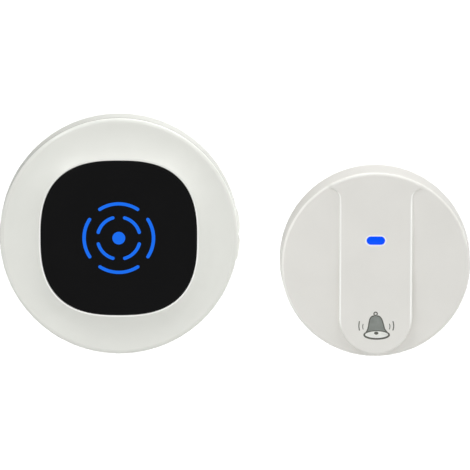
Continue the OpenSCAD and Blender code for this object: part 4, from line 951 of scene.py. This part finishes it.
# ------------------------------ carried-over boards and lights
# Green circuit boards under a thin clear lacquer, and the small lights that stand on them.

dress(finish("lacquered_board", (0.012, 0.115, 0.040), depth=0.20, cloud=320, grain=0.8,
             bump=0.10, rough=(0.28, 0.44), coat=0.3),
      "main_board", "button_board", "receiver_module")
dress(lit("blue_led_body", (0.02, 0.20, 1.0), 0.8), "display_leds", "button_led")


# ------------------------------ carried-over soft parts
# Seals and the switch's cap in rubber, foam tape, the loudspeaker's paper cone and sintered
# magnet, the transformer's wound tape, the fuse's glass, and the cloth behind the sound slots.

dress(finish("black_rubber", (0.020, 0.020, 0.021), depth=0.12, grain=0.5, bump=0.2,
             rough=(0.62, 0.78), specular=0.35), "lid_seal", "speaker_gasket")
dress(finish("grey_silicone", (0.33, 0.33, 0.34), depth=0.05, grain=0.4, bump=0.1,
             rough=(0.50, 0.64), specular=0.4), "switch_cap")
dress(finish("white_foam", (0.78, 0.78, 0.76), depth=0.05, cloud=500, grain=0.25, bump=0.5,
             rough=(0.82, 0.95), specular=0.2), "tape_strips")
dress(finish("cone_paper", (0.050, 0.047, 0.043), depth=0.2, cloud=400, grain=0.9, bump=0.35,
             rough=(0.80, 0.94), specular=0.2), "speaker_cone")
dress(finish("sintered_magnet", (0.036, 0.035, 0.035), depth=0.15, cloud=300, grain=0.3,
             bump=0.25, rough=(0.48, 0.66)), "speaker_magnet")
dress(finish("yellow_winding_tape", (0.70, 0.52, 0.07), depth=0.06, cloud=200, grain=0.5,
             bump=0.05, rough=(0.22, 0.36), stretch=(1, 1, 0.3)), "power_transformer")
fuse_glass = finish("fuse_glass", (0.85, 0.88, 0.88), depth=0.02, grain=0.6, bump=0.0,
                    rough=(0.04, 0.08))
glass_shader = fuse_glass.node_tree.nodes["Principled BSDF"]
glass_shader.inputs["Transmission Weight"].default_value = 0.8
dress(fuse_glass, "mains_fuse")


def woven(name, tone, width):
    """Cloth: two sets of threads that cross at right angles, with threads and gaps of a width
    in millimetres. A wave is both together, and at scale 1 it is 2 pi / 20 of a metre long."""
    wave_scale, thread_bump, thread_height = 1000 * math.pi / 20 / width, 0.8, 2e-4
    material = finish(name, tone, depth=0.2, cloud=600, grain=0.2, bump=0.0, rough=(0.8, 0.95),
                      specular=0.2)
    tree = material.node_tree
    place = add_node(tree, "ShaderNodeTexCoord")
    both = add_node(tree, "ShaderNodeMath", operation="ADD")
    for socket, way in enumerate(("X", "Z")):
        thread = add_node(tree, "ShaderNodeTexWave", {"Scale": wave_scale}, bands_direction=way)
        link(tree, place.outputs["Object"], thread.inputs["Vector"])
        link(tree, thread.outputs["Fac"], both.inputs[socket])
    relief = add_node(tree, "ShaderNodeBump", {"Strength": thread_bump,
                                               "Distance": thread_height})
    link(tree, both.outputs["Value"], relief.inputs["Height"])
    link(tree, relief.outputs["Normal"], tree.nodes["Principled BSDF"].inputs["Normal"])
    return material


dress(woven("black_grille_cloth", (0.016, 0.016, 0.017), 0.5), "grille_cloth")
